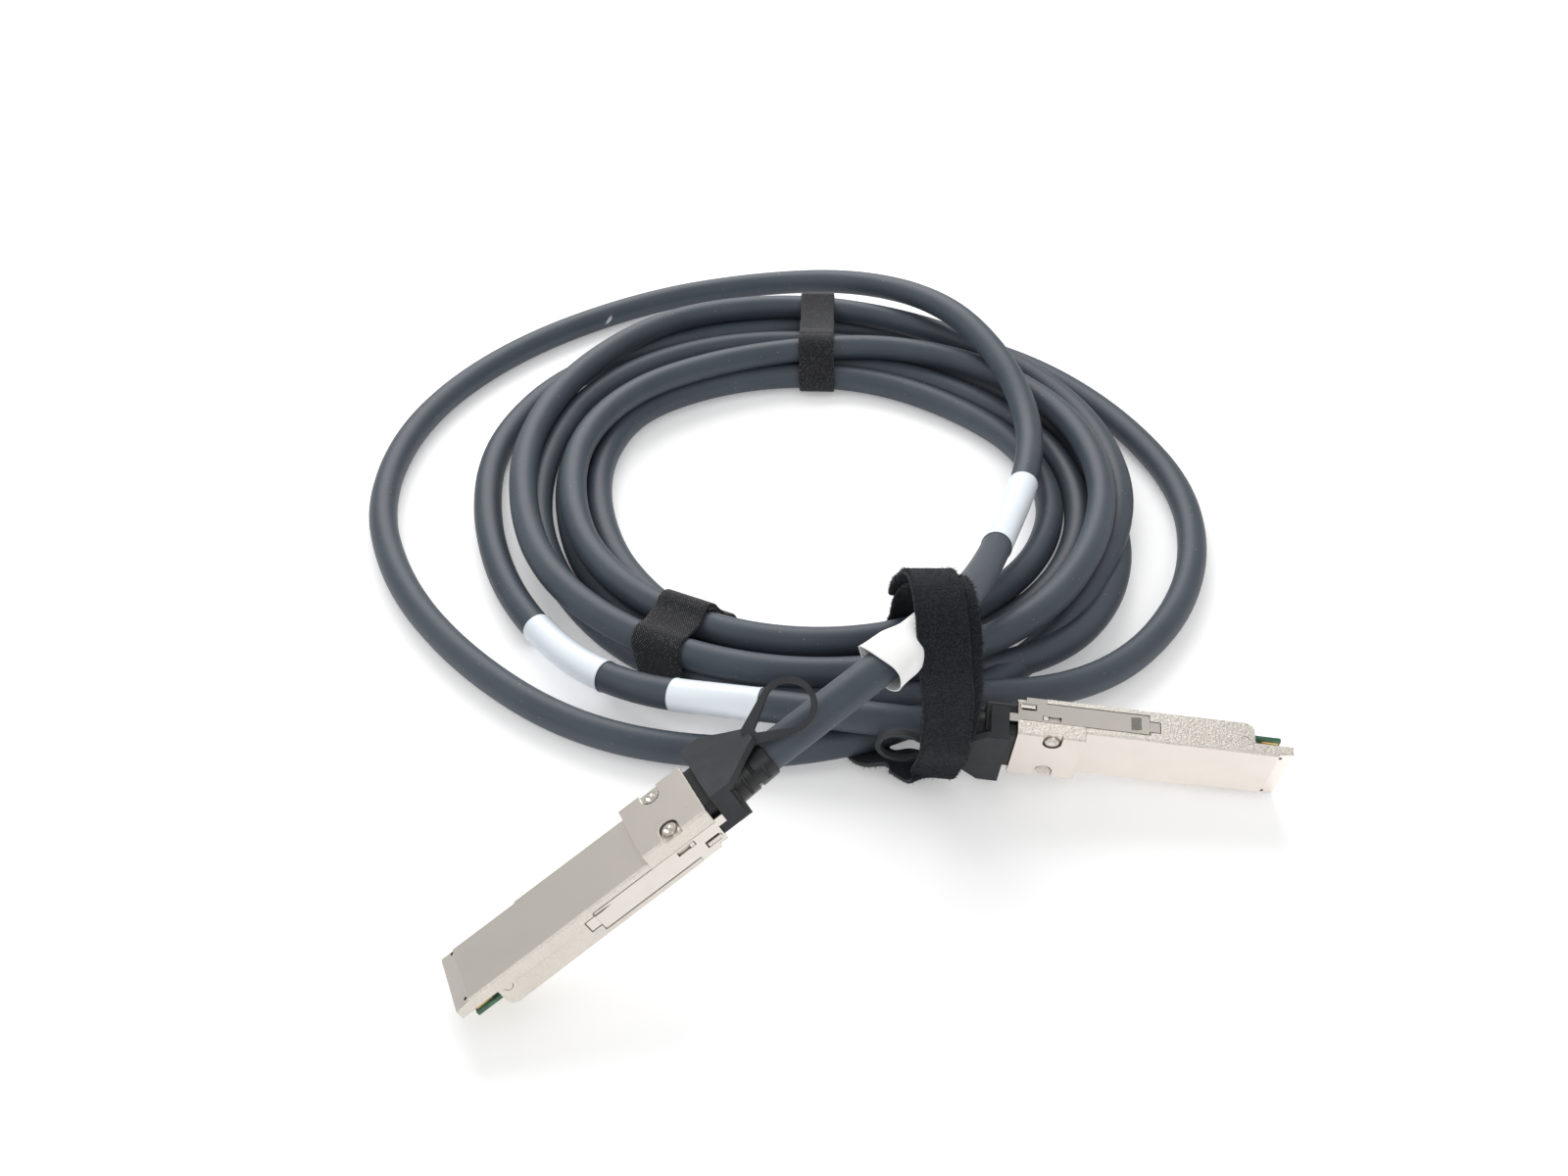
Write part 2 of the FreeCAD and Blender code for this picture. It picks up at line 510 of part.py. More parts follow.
# Routes of the loose stretches, by hand
LEFT_RUN, RIGHT_RUN = 55.0, 55.0
INTO_COIL_RISE = 2.6
UNDER_COIL_RISE = 1.0
LEAD_END_RISE = 2.2
LOOP_START_RISE = 9.0
LEFT_ROUTE = [
    on_axis(LEFT, cable_start_x), on_axis(LEFT, cable_start_x - LEFT_RUN),
    V(52, -59, ON_COIL_Z), V(67, 5, ON_COIL_Z), V(62, 86, ON_COIL_Z),
    V(0, 136, FLOOR_Z), V(-83, 106, FLOOR_Z), V(-131, 33, FLOOR_Z), V(-123, -55, FLOOR_Z),
    V(-70, -116, FLOOR_Z), V(-4, -121.5, FLOOR_Z + LEAD_END_RISE), V(30, -100.5, FLOOR_Z + INTO_COIL_RISE)]
LOOP_ROUTE = [
    V(15, -90, FLOOR_Z + LOOP_START_RISE), V(80, -104, FLOOR_Z), V(128, -35, FLOOR_Z), V(125, 45, FLOOR_Z),
    V(85, 85, FLOOR_Z), V(40, 81, FLOOR_Z + INTO_COIL_RISE)]
RIGHT_ROUTE = [
    on_axis(RIGHT, cable_start_x), on_axis(RIGHT, cable_start_x - RIGHT_RUN),
    V(-62, -98, FLOOR_Z + UNDER_COIL_RISE), V(-84, -45, FLOOR_Z + INTO_COIL_RISE)]

pieces = {}
sides = (("left", LEFT, LEFT_TILT, LEFT_TWIST), ("right", RIGHT, RIGHT_TILT, RIGHT_TWIST))
for side, frame, tilt, twist in sides:
    made = {
        "upper_shell": upper_shell(), "lower_shell": lower_shell(), "paddle_card": paddle_card(),
        "contact_pads": contact_pads(), "rivets": rivets(), "latch_slider": latch_slider(),
        "strain_relief": strain_relief(), "wire_pairs": wire_pairs(), "pull_tab": pull_tab(tilt, twist)}
    for name, shape in made.items():
        shape.Placement = frame.multiply(shape.Placement)
        pieces[side + "_" + name] = shape

left_edges, left_radii = route(LEFT_ROUTE)
loop_edges, loop_radii = route(LOOP_ROUTE)
right_edges, right_radii = route(RIGHT_ROUTE)
for name, edges, radii in (("left_lead", left_edges, left_radii), ("right_loop", loop_edges, loop_radii),
                           ("right_lead", right_edges, right_radii)):
    solid = tube(edges, CABLE_R)
    length = sum(e.Length for e in edges)
    ratio = solid.Volume / (math.pi * CABLE_R ** 2 * length)
    print(name, "length", round(length, 1), "volume ratio", round(ratio, 4),
          "radii in diameters", [round(r / CABLE_D, 2) for r in radii])
    pieces[name] = solid

pieces["coil"] = turned(Part.Face(coil_section(0.0)), 360.0)
pieces["back_tie"] = tie(BACK_TIE_W, BACK_TIE_DEG)
pieces["front_tie"] = tie(FRONT_TIE_W, FRONT_TIE_DEG)
pieces["wide_strap"] = wide_strap()
label_r = CABLE_R + LABEL_T
pieces["left_serial_label"] = sleeve(left_edges[3], *LEFT_SERIAL_SHARES, CABLE_R, label_r)
pieces["right_serial_label"] = sleeve(right_edges[3], *RIGHT_SERIAL_SHARES, CABLE_R, label_r)
pieces["part_label"] = sleeve(right_edges[1], *PART_SHARES, CABLE_R, label_r)
pieces["flag_label"] = sleeve(left_edges[1], *FLAG_SHARES, CABLE_R, CABLE_R + FLAG_T)

# The frame's origin: under the middle of everything but the cable itself
CORD = ("coil", "left_lead", "right_loop", "right_lead")
whole = FreeCAD.BoundBox()
for name, shape in pieces.items():
    if name not in CORD:
        whole.add(shape.optimalBoundingBox(False, False))
shift = V(-whole.Center.x, -whole.Center.y, -whole.ZMin)
print("shift", tuple(round(c, 3) for c in shift))
print("size", [round(v, 1) for v in (whole.XLength, whole.YLength, whole.ZLength)])

for name, shape in pieces.items():
    shape.translate(shift)
    solids = len(shape.Solids)
    print(name, "solids", solids, "valid", shape.isValid(), "volume", round(shape.Volume, 1))
    shape.exportStep("parts/" + name + ".step")
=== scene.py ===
# %% [markdown]
# A coiled storage cable with two plugs
#
# The part is a copper storage cable, wound up and tied. It ends in two cast plugs with sliding latches,
# two narrow woven ties and one wide napped strap hold its turns, and labels are wrapped round it. The
# plugs come from the CAD model as they are and only get their finishes here. The cable, the ties, the
# strap and the labels are soft, so this lesson makes them anew, each in the place that its CAD solid
# holds.

# %% Tools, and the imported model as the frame
import math
import bpy
import numpy as np
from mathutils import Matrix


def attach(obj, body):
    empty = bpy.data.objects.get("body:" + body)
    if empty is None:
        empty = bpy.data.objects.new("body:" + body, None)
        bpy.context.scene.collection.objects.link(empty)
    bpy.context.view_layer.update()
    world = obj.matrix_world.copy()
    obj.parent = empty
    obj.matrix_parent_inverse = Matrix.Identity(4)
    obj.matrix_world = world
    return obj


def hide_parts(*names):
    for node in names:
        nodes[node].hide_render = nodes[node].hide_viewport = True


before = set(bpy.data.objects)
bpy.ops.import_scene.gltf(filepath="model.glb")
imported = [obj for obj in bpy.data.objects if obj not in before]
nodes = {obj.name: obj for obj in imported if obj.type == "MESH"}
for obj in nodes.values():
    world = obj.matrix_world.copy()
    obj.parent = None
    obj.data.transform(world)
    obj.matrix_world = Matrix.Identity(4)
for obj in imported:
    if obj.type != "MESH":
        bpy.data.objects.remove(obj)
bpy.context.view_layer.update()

# %% [markdown]
# The drawing's millimetres
#
# The CAD source places its pieces in millimetres, about an origin of its own, and then moves everything
# so that the frame's origin lies under the middle. Keeping the drawing's own numbers here lets a reader
# hold the two files side by side, so one function turns them into metres of the frame.

# %% From the drawing to the frame
MM = 0.001
DRAWING_ORIGIN = np.array([-19.018, 51.24, -0.1])
CABLE_D = 8.5
CABLE_R = CABLE_D / 2


def place(points):
    """Metres of the frame from millimetres of the drawing: shift, then scale."""
    return (np.asarray(points, float) + DRAWING_ORIGIN) * MM


def unit(v):
    """Rows of an array divided by their lengths."""
    v = np.asarray(v, float)
    return v / np.linalg.norm(v, axis=-1, keepdims=True)


print("the drawing's origin lies at", place((0, 0, 0)).round(4))

# %% [markdown]
# Camera
#
# The camera stands about where the photograph was taken from. Its place, tilt and focal length were fitted to
# the plugs, whose size is a standard one, and to the loops. The picture is 1600 by 1200, and a lens of 33.4
# mm on a 36 mm sensor gives 1485 pixels of focal length. The camera comes first because the cable is laid out
# against what it sees.

# %% The camera
CAMERA_AT = (-5.0, -375.0, 273.7)
CAMERA_TILT = 39.8
CAMERA_LENS = 33.41
CAMERA_SENSOR = 36.0

camera = bpy.data.objects.new("camera", bpy.data.cameras.new("camera"))
camera.data.lens = CAMERA_LENS
camera.data.sensor_width = CAMERA_SENSOR
camera.data.sensor_fit = "HORIZONTAL"
camera.data.clip_start = 0.01
camera.location = place(CAMERA_AT)
camera.rotation_euler = (math.radians(90 - CAMERA_TILT), 0, 0)
bpy.context.scene.collection.objects.link(camera)
bpy.context.scene.camera = camera
print("camera at", [round(c, 3) for c in camera.location])

# %% [markdown]
# Where the cable starts and ends
#
# Each plug holds the cable on its own axis, so the cable's first and last points come from the plugs. A
# plug is known by its origin, the way to its nose (X) and the way out of its broad face (Z), as in the
# drawing.

# %% The plugs' axes
AXIS_Z = -2.9
CABLE_START_X = -20.5


def plug(at, x_way, z_way):
    """Origin and axes of a plug; Z is squared to X, and Y is Z x X."""
    x = unit(x_way)
    z = unit(np.asarray(z_way) - x * np.dot(z_way, x))
    return np.asarray(at, float), np.stack([x, np.cross(z, x), z], axis=1)


def in_plug(where, points):
    """Drawing points from points in a plug's own axes."""
    at, axes = where
    return at + np.asarray(points, float) @ axes.T


def on_axis(where, x):
    """A point on a plug's cable axis."""
    return in_plug(where, (x, 0, AXIS_Z))


LEFT_PLUG = plug((-37.1, -168.3, 30.4), (-0.800, -0.439, -0.409), (-0.468, 0.030, 0.883))
RIGHT_PLUG = plug((67.8, -125.0, 12.4), (0.992, -0.106, -0.062), (-0.117, -0.969, -0.218))

# %% [markdown]
# The cable's route
#
# One cable runs from boot to boot, and every turn in the picture belongs to it. From the left boot it rises
# under the strap, crosses the coil, falls to the floor and makes the large loose loop. Then it goes round six
# times: twice on top, four times on the floor, the last of these with the loose loop at the right. Points for
# the loose stretch are chosen one by one. A turn is a short list of lanes, that is angle, radius and height
# about the coil's centre, and a loop makes fifteen control points per turn from it. The spline has order 3
# and cuts a little inside its points, so the radii are enlarged by the share that a circle would lose.

# %% The route's points
FLOOR_Z = CABLE_R + 0.6
LEAD = [on_axis(LEFT_PLUG, CABLE_START_X), on_axis(LEFT_PLUG, -78), (45, -86, 35), (57, -47, 19),
        (69, -14, 17), (74, 16, 16.5), (68, 47, 22), (51, 80, 25), (22, 112, 16.5), (-16, 129, 6),
        (-57, 117, FLOOR_Z), (-100, 84, FLOOR_Z), (-127, 40, FLOOR_Z), (-132, -8, FLOOR_Z),
        (-118, -49, FLOOR_Z), (-93, -83, FLOOR_Z), (-60, -109.5, FLOOR_Z), (-24, -119, 5.2),
        (8, -117, 6.6)]

COIL_CENTRE = np.array([4.0, -6.0])
LOW = CABLE_R + 0.95
TOP_OUTER = [(-74, 102.5, 6.8), (-60, 98, 6.6), (-45, 94.5, 7), (-30, 91.5, 9.5), (-15, 93, 9),
             (0, 95, 8.3), (20, 97, 8.8), (40, 97, 10.5), (61, 96.5, 12.4), (73, 100, 12.6),
             (93, 105, 12.6), (112, 108.2, 12.6), (123, 105.7, 12.6), (137, 99.8, 12.5),
             (161, 93.5, 12.3), (178, 88.5, 12.4), (195, 88, 12.4), (221, 90.3, 12.7),
             (246, 89.8, 12.9), (266, 90.8, 12.9), (290, 93.5, 15)]
TOP_INNER = [(-55, 94.5, 17.5), (-39, 90, 17), (-24, 88, 16.2), (-7, 87.5, 14.8), (10, 88, 14),
             (35, 86.5, 13.2), (57, 83.5, 12.9), (69, 80.2, 12.8), (81, 75.5, 12.7), (97, 72.2, 12.7),
             (123, 71.6, 12.8), (139, 74.3, 13.2), (158, 76, 13.2), (179, 73, 12.7), (199, 74, 12.7),
             (228, 77.5, 12.8), (246, 77.6, 12.8), (270, 79.5, 13), (285, 80, 13.8)]
LOW_FIRST = [(-60, 77, 13.4), (-40, 73.5, 9.5), (-20, 73, 5.9), (0, 73.5, LOW), (31, 70.5, LOW),
             (48, 67.2, LOW), (65, 67.5, LOW), (81, 69.9, LOW), (97, 69, LOW), (120, 71, LOW),
             (148, 74.5, LOW), (170, 67.8, LOW), (193, 65.3, LOW), (210, 66.2, LOW), (225, 69, LOW),
             (246, 73, LOW), (265, 73.5, LOW)]
LOW_SECOND = [(-75, 76.5, LOW), (-60, 80.8, LOW), (-40, 82.3, LOW), (0, 82, LOW), (31, 79.5, LOW),
              (48, 76.6, LOW), (65, 76.5, LOW), (81, 78.8, LOW), (97, 78.5, LOW), (120, 80.2, LOW),
              (148, 83.6, LOW), (170, 77, LOW), (193, 74.5, LOW), (225, 78, LOW), (246, 82, LOW),
              (265, 82.7, LOW)]
LOW_THIRD = [(-75, 88, 6.5), (-64, 94, 9.8), (-52, 100.5, 9), (-42, 103.5, 6), (-36, 102.3, LOW),
             (-22, 95, 4.9), (-10, 91, 4.9), (10, 89.5, 5), (31, 88.5, LOW), (60, 87.3, LOW),
             (81, 89, 5.6), (96, 91, 6), (129, 95, 5.8), (145, 93.5, 5.4), (165, 87, LOW),
             (180, 84.6, LOW), (205, 84.4, LOW), (225, 87, LOW), (246, 91.3, LOW), (262, 92.5, 6)]
LOW_LAST = [(-80, 96.5, 10.8), (-68, 103, 10.8), (-51, 114.4, 6), (-31, 116.8, FLOOR_Z),
            (-8, 117, FLOOR_Z), (11, 112.3, FLOOR_Z), (23, 109.2, FLOOR_Z), (40, 108, 4.9),
            (65, 104.5, 5), (81, 101.6, LOW), (96, 101.2, LOW), (117, 103, LOW), (135, 106.5, 5.1),
            (150, 109, 5), (158, 108.5, 4.9), (173, 101.8, 4.9), (188, 99.3, 4.9), (211, 99.6, 5),
            (227, 101.6, 5.4), (240, 104.8, 7.8), (258, 109, 13)]
TURNS = [TOP_OUTER, TOP_INNER, LOW_FIRST, LOW_SECOND, LOW_THIRD, LOW_LAST]
STEP = 24.0


def wound(turns):
    """Control points of the turns: lanes joined end to end, read every STEP degrees, polar to plain."""
    lanes = np.vstack([np.array(turn) + (360.0 * i, 0, 0) for i, turn in enumerate(turns)])
    angle = np.arange(lanes[0, 0], lanes[-1, 0], STEP)
    loss = (1 - math.cos(math.radians(STEP))) / 4
    radius = np.interp(angle, lanes[:, 0], lanes[:, 1]) / (1 - loss)
    height = np.interp(angle, lanes[:, 0], lanes[:, 2])
    ways = np.stack([np.cos(np.radians(angle)), np.sin(np.radians(angle))], axis=1)
    return np.column_stack([COIL_CENTRE + radius[:, None] * ways, height])


route = np.vstack([LEAD, wound(TURNS), on_axis(RIGHT_PLUG, -75.5), on_axis(RIGHT_PLUG, CABLE_START_X)])
print("control points", len(route))

# %% [markdown]
# The cable as one curve
#
# A NURBS curve with a round bevel is the plainest way to a cable: it stays smooth at any size. The
# order and the end condition are set after the points exist, or Blender keeps straight runs. A second
# copy without a bevel gives the centre line as points, which the labels, ties and strap need later.
# Blender widens a curve's box by its points' radius, so the radius carries the cable's size and the
# bevel's depth is 1.

# %% The curve
shape = bpy.data.curves.new("cable_jacket", "CURVE")
shape.dimensions = "3D"
spline = shape.splines.new("NURBS")
spline.points.add(len(route) - 1)
spline.points.foreach_set("co", np.column_stack([place(route), np.ones(len(route))]).ravel())
spline.points.foreach_set("radius", np.full(len(route), CABLE_R * MM))
spline.order_u = 3
spline.use_endpoint_u = True
shape.resolution_u = 12
bare = shape.copy()
shape.bevel_depth = 1.0
shape.bevel_resolution = 6
shape.use_fill_caps = True
cable = bpy.data.objects.new("cable_jacket", shape)
bpy.context.scene.collection.objects.link(cable)

line_object = bpy.data.objects.new("centre_line", bare)
line_mesh = bpy.data.meshes.new_from_object(line_object)
line = np.empty(len(line_mesh.vertices) * 3)
line_mesh.vertices.foreach_get("co", line)
line = line.reshape(-1, 3)
run = np.concatenate([[0], np.cumsum(np.linalg.norm(np.diff(line, axis=0), axis=1))])
bpy.data.objects.remove(line_object)
bpy.data.meshes.remove(line_mesh)
bpy.data.curves.remove(bare)
print("centre line", len(line), "points,", round(run[-1], 3), "m")

# %% The cable's declaration
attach(cable, "cable")
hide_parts("coil", "left_lead", "right_loop", "right_lead")
pieces_on_cable = [nodes[side + piece] for side in ("left_", "right_")
                   for piece in ("strain_relief", "upper_shell")]
print("pieces of the plugs that hold the cable", len(pieces_on_cable))

# %% [markdown]
# Grids, sections and paths
#
# Every other new piece is a grid of points: rows along a path and columns round a section. One function
# turns a grid into a mesh, with its own UV map in metres so that a weave keeps its size, and one gives
# places and directions along the cable.

# %% From a grid to an object
A_LITTLE = 0.0001


def corners(i, j, k, wide):
    """Numbers of the points at rows i and i + 1 and columns j and k of a grid with wide columns."""
    four = np.broadcast_arrays(i * wide + j, i * wide + k, (i + 1) * wide + k, (i + 1) * wide + j)
    return np.stack(four, axis=-1).reshape(-1, 4)


def surface(name, grid, round_section=False, capped=True, uv=None):
    """Quads between neighbouring rows and columns; a round section also joins its last column to its first,
    and flat faces cap its two ends. Faces are turned over where the volume under them comes out negative."""
    rows, columns = grid.shape[:2]
    i = np.arange(rows - 1)[:, None]
    j = np.arange(columns if round_section else columns - 1)[None, :]
    k = (j + 1) % columns
    quads = corners(i, j, k, columns)
    flat = grid.reshape(-1, 3)
    p, q, r, t = [flat[quads[:, c]] for c in range(4)]
    inside_out = round_section and np.sum(p * np.cross(q - p, t - p) + r * np.cross(t - r, q - r)) < 0
    turned = slice(None, None, -1) if inside_out else slice(None)
    faces = quads[:, turned].tolist()
    if round_section and capped:
        first, last = list(range(columns))[::-1], list(range((rows - 1) * columns, rows * columns))
        faces += [first[turned], last[turned]]
    mesh = bpy.data.meshes.new(name)
    mesh.from_pydata(flat.tolist(), [], faces)
    mesh.polygons.foreach_set("use_smooth", np.ones(len(faces), bool))
    if uv is not None:
        loops = uv.reshape(-1, 2)[corners(i, j, j + 1, uv.shape[1])[:, turned].reshape(-1)]
        if round_section and capped:
            loops = np.vstack([loops, np.repeat(uv[:1, 0], columns, 0), np.repeat(uv[-1:, 0], columns, 0)])
        mesh.uv_layers.new(name="UVMap").data.foreach_set("uv", loops.ravel())
    piece = bpy.data.objects.new(name, mesh)
    bpy.context.scene.collection.objects.link(piece)
    return piece


def along(places):
    """Points of the cable at distances in metres, with the ways forward, sideways and up. Forward is the way
    between two points a little behind and ahead."""
    point, front, back = [np.stack([np.interp(s, run, line[:, c]) for c in range(3)], axis=1)
                          for s in (places, places + A_LITTLE, places - A_LITTLE)]
    forward = unit(front - back)
    sideways = unit(np.cross(forward, (0, 0, 1)))
    return point, forward, sideways, np.cross(sideways, forward)


print("cable starts", line[0].round(4), "and ends", line[-1].round(4))

# %% [markdown]
# Wrapped labels
#
# Three film labels are rolled once round the cable and stuck to themselves, so each is a sheet whose
# seam overlaps by 25 degrees. A cylinder would do for a straight cable, but this one bends, so each
# label follows the centre line, and its edges lift a little, as film does on a bend. A label is given
# by its two distances along the cable in metres and the angle of its seam.

# %% Labels
LABEL_GAP = 0.06
LABEL_T = 0.12
LABEL_LIFT = 0.16
LABEL_WRAP = 385
LABEL_STEP = 0.12
LABELS = {"left_serial_label": (0.1400, 0.1807, 200), "right_serial_label": (3.9742, 4.0052, 150),
          "part_label": (4.0274, 4.0512, 140)}


def ease(x):
    """Smooth step from 0 to 1 as x goes from 0 to 1."""
    x = np.clip(x, 0, 1)
    return x * x * (3 - 2 * x)


def wrapped_label(name, start, end, seam):
    """Sheet round the cable: the angle runs past a full turn, and there the radius steps up over the film.
    The radius also grows towards both edges, as e to the minus distance."""
    s = np.linspace(start, end, 48)
    angle = np.radians(seam) + np.linspace(0, np.radians(LABEL_WRAP), 90)
    lap = ease((angle - angle[0] - 2 * np.pi + LABEL_STEP) / LABEL_STEP)
    edge = np.minimum(s - start, end - s) / MM
    radius = CABLE_R + LABEL_GAP + LABEL_LIFT * np.exp(-edge / 0.5)[:, None] + 1.3 * LABEL_T * lap[None, :]
    point, _, side, up = along(s)
    grid = (point[:, None] + MM * radius[..., None] * (np.cos(angle)[None, :, None] * side[:, None]
                                                      + np.sin(angle)[None, :, None] * up[:, None]))
    uv = np.stack(np.broadcast_arrays((s - start)[:, None], (angle * CABLE_R * MM)[None, :]), axis=-1)
    piece = surface(name + "_film", grid, uv=uv)
    film = piece.modifiers.new("film", "SOLIDIFY")
    film.thickness = LABEL_T * MM
    film.offset = 1.0
    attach(piece, "cable")
    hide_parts(name)
    return piece


labels = [wrapped_label(name, *where) for name, where in LABELS.items()]
pieces_on_cable += labels
print("labels", [(o.name, len(o.data.vertices)) for o in labels])

# %% [markdown]
# The white flag label
#
# Under the strap, a plain white paper flag is folded round the cable. Its section is wider than high
# and squarer than an ellipse, and its free end stands open, curls outwards and runs unevenly. A folded
# sheet would need its creases modelled one by one. Here the section is one formula, and the distance
# along the cable opens it.

# %% Flag label
FLAG_START, FLAG_END = 0.0455, 0.0640
FLAG_T = 0.22
FLAG_WIDE, FLAG_NARROW = 6.25, 4.7
FLAG_HIGH = 4.6
FLAG_POWER = 0.75
FLAG_ROUND = 0.034


def flag_label():
    """Closed section: cosine and sine to a power under 1, which is squarer than an ellipse, and wider and
    wavier towards the free end."""
    s = np.linspace(FLAG_START, FLAG_END, 60)
    angle = np.linspace(0, 2 * np.pi, 96, endpoint=False)
    deep = (s - FLAG_START) / MM
    open_share = 1 - ease(deep / 14)
    half_wide = FLAG_WIDE - (FLAG_WIDE - FLAG_NARROW) * ease(deep / 6.5 - 0.85)
    half_high = FLAG_HIGH + 0.3 * open_share
    cosine, sine = np.cos(angle), np.sin(angle)
    across = half_wide[:, None] * (np.sign(cosine) * np.abs(cosine) ** FLAG_POWER)[None, :]
    upward = half_high[:, None] * (np.sign(sine) * np.abs(sine) ** FLAG_POWER)[None, :]
    curl = np.exp(-deep / 1.6)[:, None] * (0.5 * np.abs(cosine) ** 3)[None, :]
    crease = 0.25 * np.sin(3 * angle + 1.0)[None, :] * open_share[:, None]
    ragged = 0.5 * np.exp(-deep / 2.5)[:, None] * np.sin(2 * angle + 0.6)[None, :]
    point, forward, side, up = along(s)
    swell = (1 + (curl + crease) / 5.5)[..., None]
    section = across[..., None] * side[:, None] + upward[..., None] * up[:, None]
    grid = point[:, None] + MM * swell * section + MM * ragged[..., None] * forward[:, None]
    round_it = np.linspace(0, FLAG_ROUND, len(angle) + 1)
    uv = np.stack(np.broadcast_arrays((s - FLAG_START)[:, None], round_it[None, :]), axis=-1)
    piece = surface("flag_label_paper", grid, round_section=True, capped=False, uv=uv)
    paper = piece.modifiers.new("paper", "SOLIDIFY")
    paper.thickness = FLAG_T * MM
    paper.offset = -1.0
    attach(piece, "cable")
    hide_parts("flag_label")
    return piece


flag = flag_label()
pieces_on_cable.append(flag)
print("flag", len(flag.data.vertices), "points")

# %% [markdown]
# The two woven ties
#
# A tie is a narrow woven strip pulled tight round the turns. Pulled tight means that it lies on the
# outermost strands and spans straight from one to the next. That is the hull of the strands' circles:
# in each direction the band touches the circle that reaches farthest. Where it spans a dip at the top
# it sags a little. The strip then goes round about once and a quarter, the end lapping over the start.

# %% A band round the strands
TIE_T = 0.9
TIE_GAP = 0.15
TIE_SAG = 0.075
TIE_LEANS_ABOUT = 8
TIE_CLIMB_FROM, TIE_CLIMB = 8, 10
TIE_LAP = 1.08
FLOOR_AT = -DRAWING_ORIGIN[2]
STRIP_LOWEST = FLOOR_AT + 0.1
UPRIGHT = np.array([0, 0, 1])


def strands_at(degrees, inside, outside):
    """Radius and height of each strand that crosses a half plane through the coil's axis."""
    flat = line[:, :2] / MM - DRAWING_ORIGIN[:2] - COIL_CENTRE
    way = np.array([math.cos(math.radians(degrees)), math.sin(math.radians(degrees))])
    off, reach, high = flat @ (-way[1], way[0]), flat @ way, line[:, 2] / MM - DRAWING_ORIGIN[2]
    i = np.flatnonzero((off[:-1] * off[1:] < 0) & (reach[:-1] > 0))
    share = off[i] / (off[i] - off[i + 1])
    centres = np.column_stack([reach[i] + share * (reach[i + 1] - reach[i]),
                               high[i] + share * (high[i + 1] - high[i])])
    return centres[(centres[:, 0] > inside) & (centres[:, 0] < outside)]


def lasso(centres, radius, sag, spacing=0.5):
    """Hull of equal circles as evenly spaced points with outward ways: along each way, the circle that
    reaches farthest. Spans that face up sag as a parabola."""
    angle = np.linspace(0, 2 * np.pi, 721)
    way = np.column_stack([np.cos(angle), np.sin(angle)])
    touch = np.argmax(centres @ way.T, axis=0)
    hull = centres[touch] + radius * way
    step = np.linalg.norm(np.diff(hull, axis=0), axis=1)
    length = np.concatenate([[0], np.cumsum(step)])
    s = np.linspace(0, length[-1], int(length[-1] / spacing), endpoint=False)
    i = np.searchsorted(length, s, side="right") - 1
    share = (s - length[i]) / step[i]
    point = hull[i] + share[:, None] * (hull[i + 1] - hull[i])
    span = np.where((touch[i] != touch[i + 1]) & (way[i, 1] > 0.3), step[i], 0)
    return point - (sag * span * 4 * share * (1 - share))[:, None] * way[i], way[i], length[-1]


def strip_section(width, thickness, flats=12, rounds=5):
    """Outline of a strip: two flat sides joined by half circles, with the distance round it."""
    half, r = (width - thickness) / 2, thickness / 2
    top = np.column_stack([np.linspace(half, -half, flats), np.full(flats, r)])
    turn = np.linspace(np.pi / 2, 3 * np.pi / 2, rounds + 2)[1:-1]
    end = np.column_stack([-half + r * np.cos(turn), r * np.sin(turn)])
    outline = np.vstack([top, end, -top, -end])
    gap = np.linalg.norm(np.roll(outline, -1, 0) - outline, axis=1)
    return outline, np.concatenate([[0], np.cumsum(gap)])


def swept_strip(name, path, side, out, width, thickness, waver=0.0):
    """Strip section carried along a path and kept above the floor, its width wavering as two sines; UV is
    the distance along and round."""
    section, round_it = strip_section(width, thickness)
    distance = np.concatenate([[0], np.cumsum(np.linalg.norm(np.diff(path, axis=0), axis=1))])
    wide = 1 + waver * (np.sin(distance / 2.3) + 0.6 * np.sin(distance / 0.9 + 1))[:, None]
    grid = (path[:, None] + (section[None, :, 0] * wide)[..., None] * side[:, None]
            + section[None, :, 1, None] * out[:, None])
    grid[..., 2] = np.maximum(grid[..., 2], STRIP_LOWEST)
    uv = np.stack(np.broadcast_arrays(distance[:, None], round_it[None, :]), axis=-1) * MM
    return surface(name, place(grid), round_section=True, uv=uv), distance[-1]


def tie(name, degrees, inside, outside, width, start_share, turns, lean):
    """Woven tie: the hull is walked from a start for some turns, and steps out by its thickness on the lap.
    Strands slant under the tie, so the hull also holds where they are at its two edges."""
    half_turn = math.degrees(width / (inside + outside))
    strands = np.vstack([strands_at(degrees + turn, inside, outside) for turn in (-half_turn, 0, half_turn)])
    point, way, length = lasso(strands, CABLE_R + TIE_GAP, TIE_SAG)
    count = len(point)
    walk = (int(start_share * count) + np.arange(int(turns * count))) % count
    lap = ease((np.arange(len(walk)) - count + TIE_CLIMB_FROM) / TIE_CLIMB)
    outward = TIE_T * (0.5 + TIE_LAP * lap)
    flat = point[walk] + outward[:, None] * way[walk]
    flat[:, 1] = np.maximum(flat[:, 1], FLOOR_AT + TIE_T / 2)
    radial = np.array([math.cos(math.radians(degrees)), math.sin(math.radians(degrees)), 0])
    tangent = np.array([-radial[1], radial[0], 0])
    centre = np.array([*COIL_CENTRE, 0])
    path = centre + flat[:, :1] * radial + flat[:, 1:] * UPRIGHT
    path = path + lean * (flat[:, 1:] - TIE_LEANS_ABOUT) * tangent
    out = way[walk, :1] * radial + way[walk, 1:] * UPRIGHT
    side = np.broadcast_to(tangent, out.shape)
    piece, long = swept_strip(name + "_weave", path, side, out, width, TIE_T, waver=0.012)
    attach(piece, "cable")
    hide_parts(name)
    print(name, "round", round(length, 1), "mm, strip", round(long, 1), "by", width, "mm")
    return piece


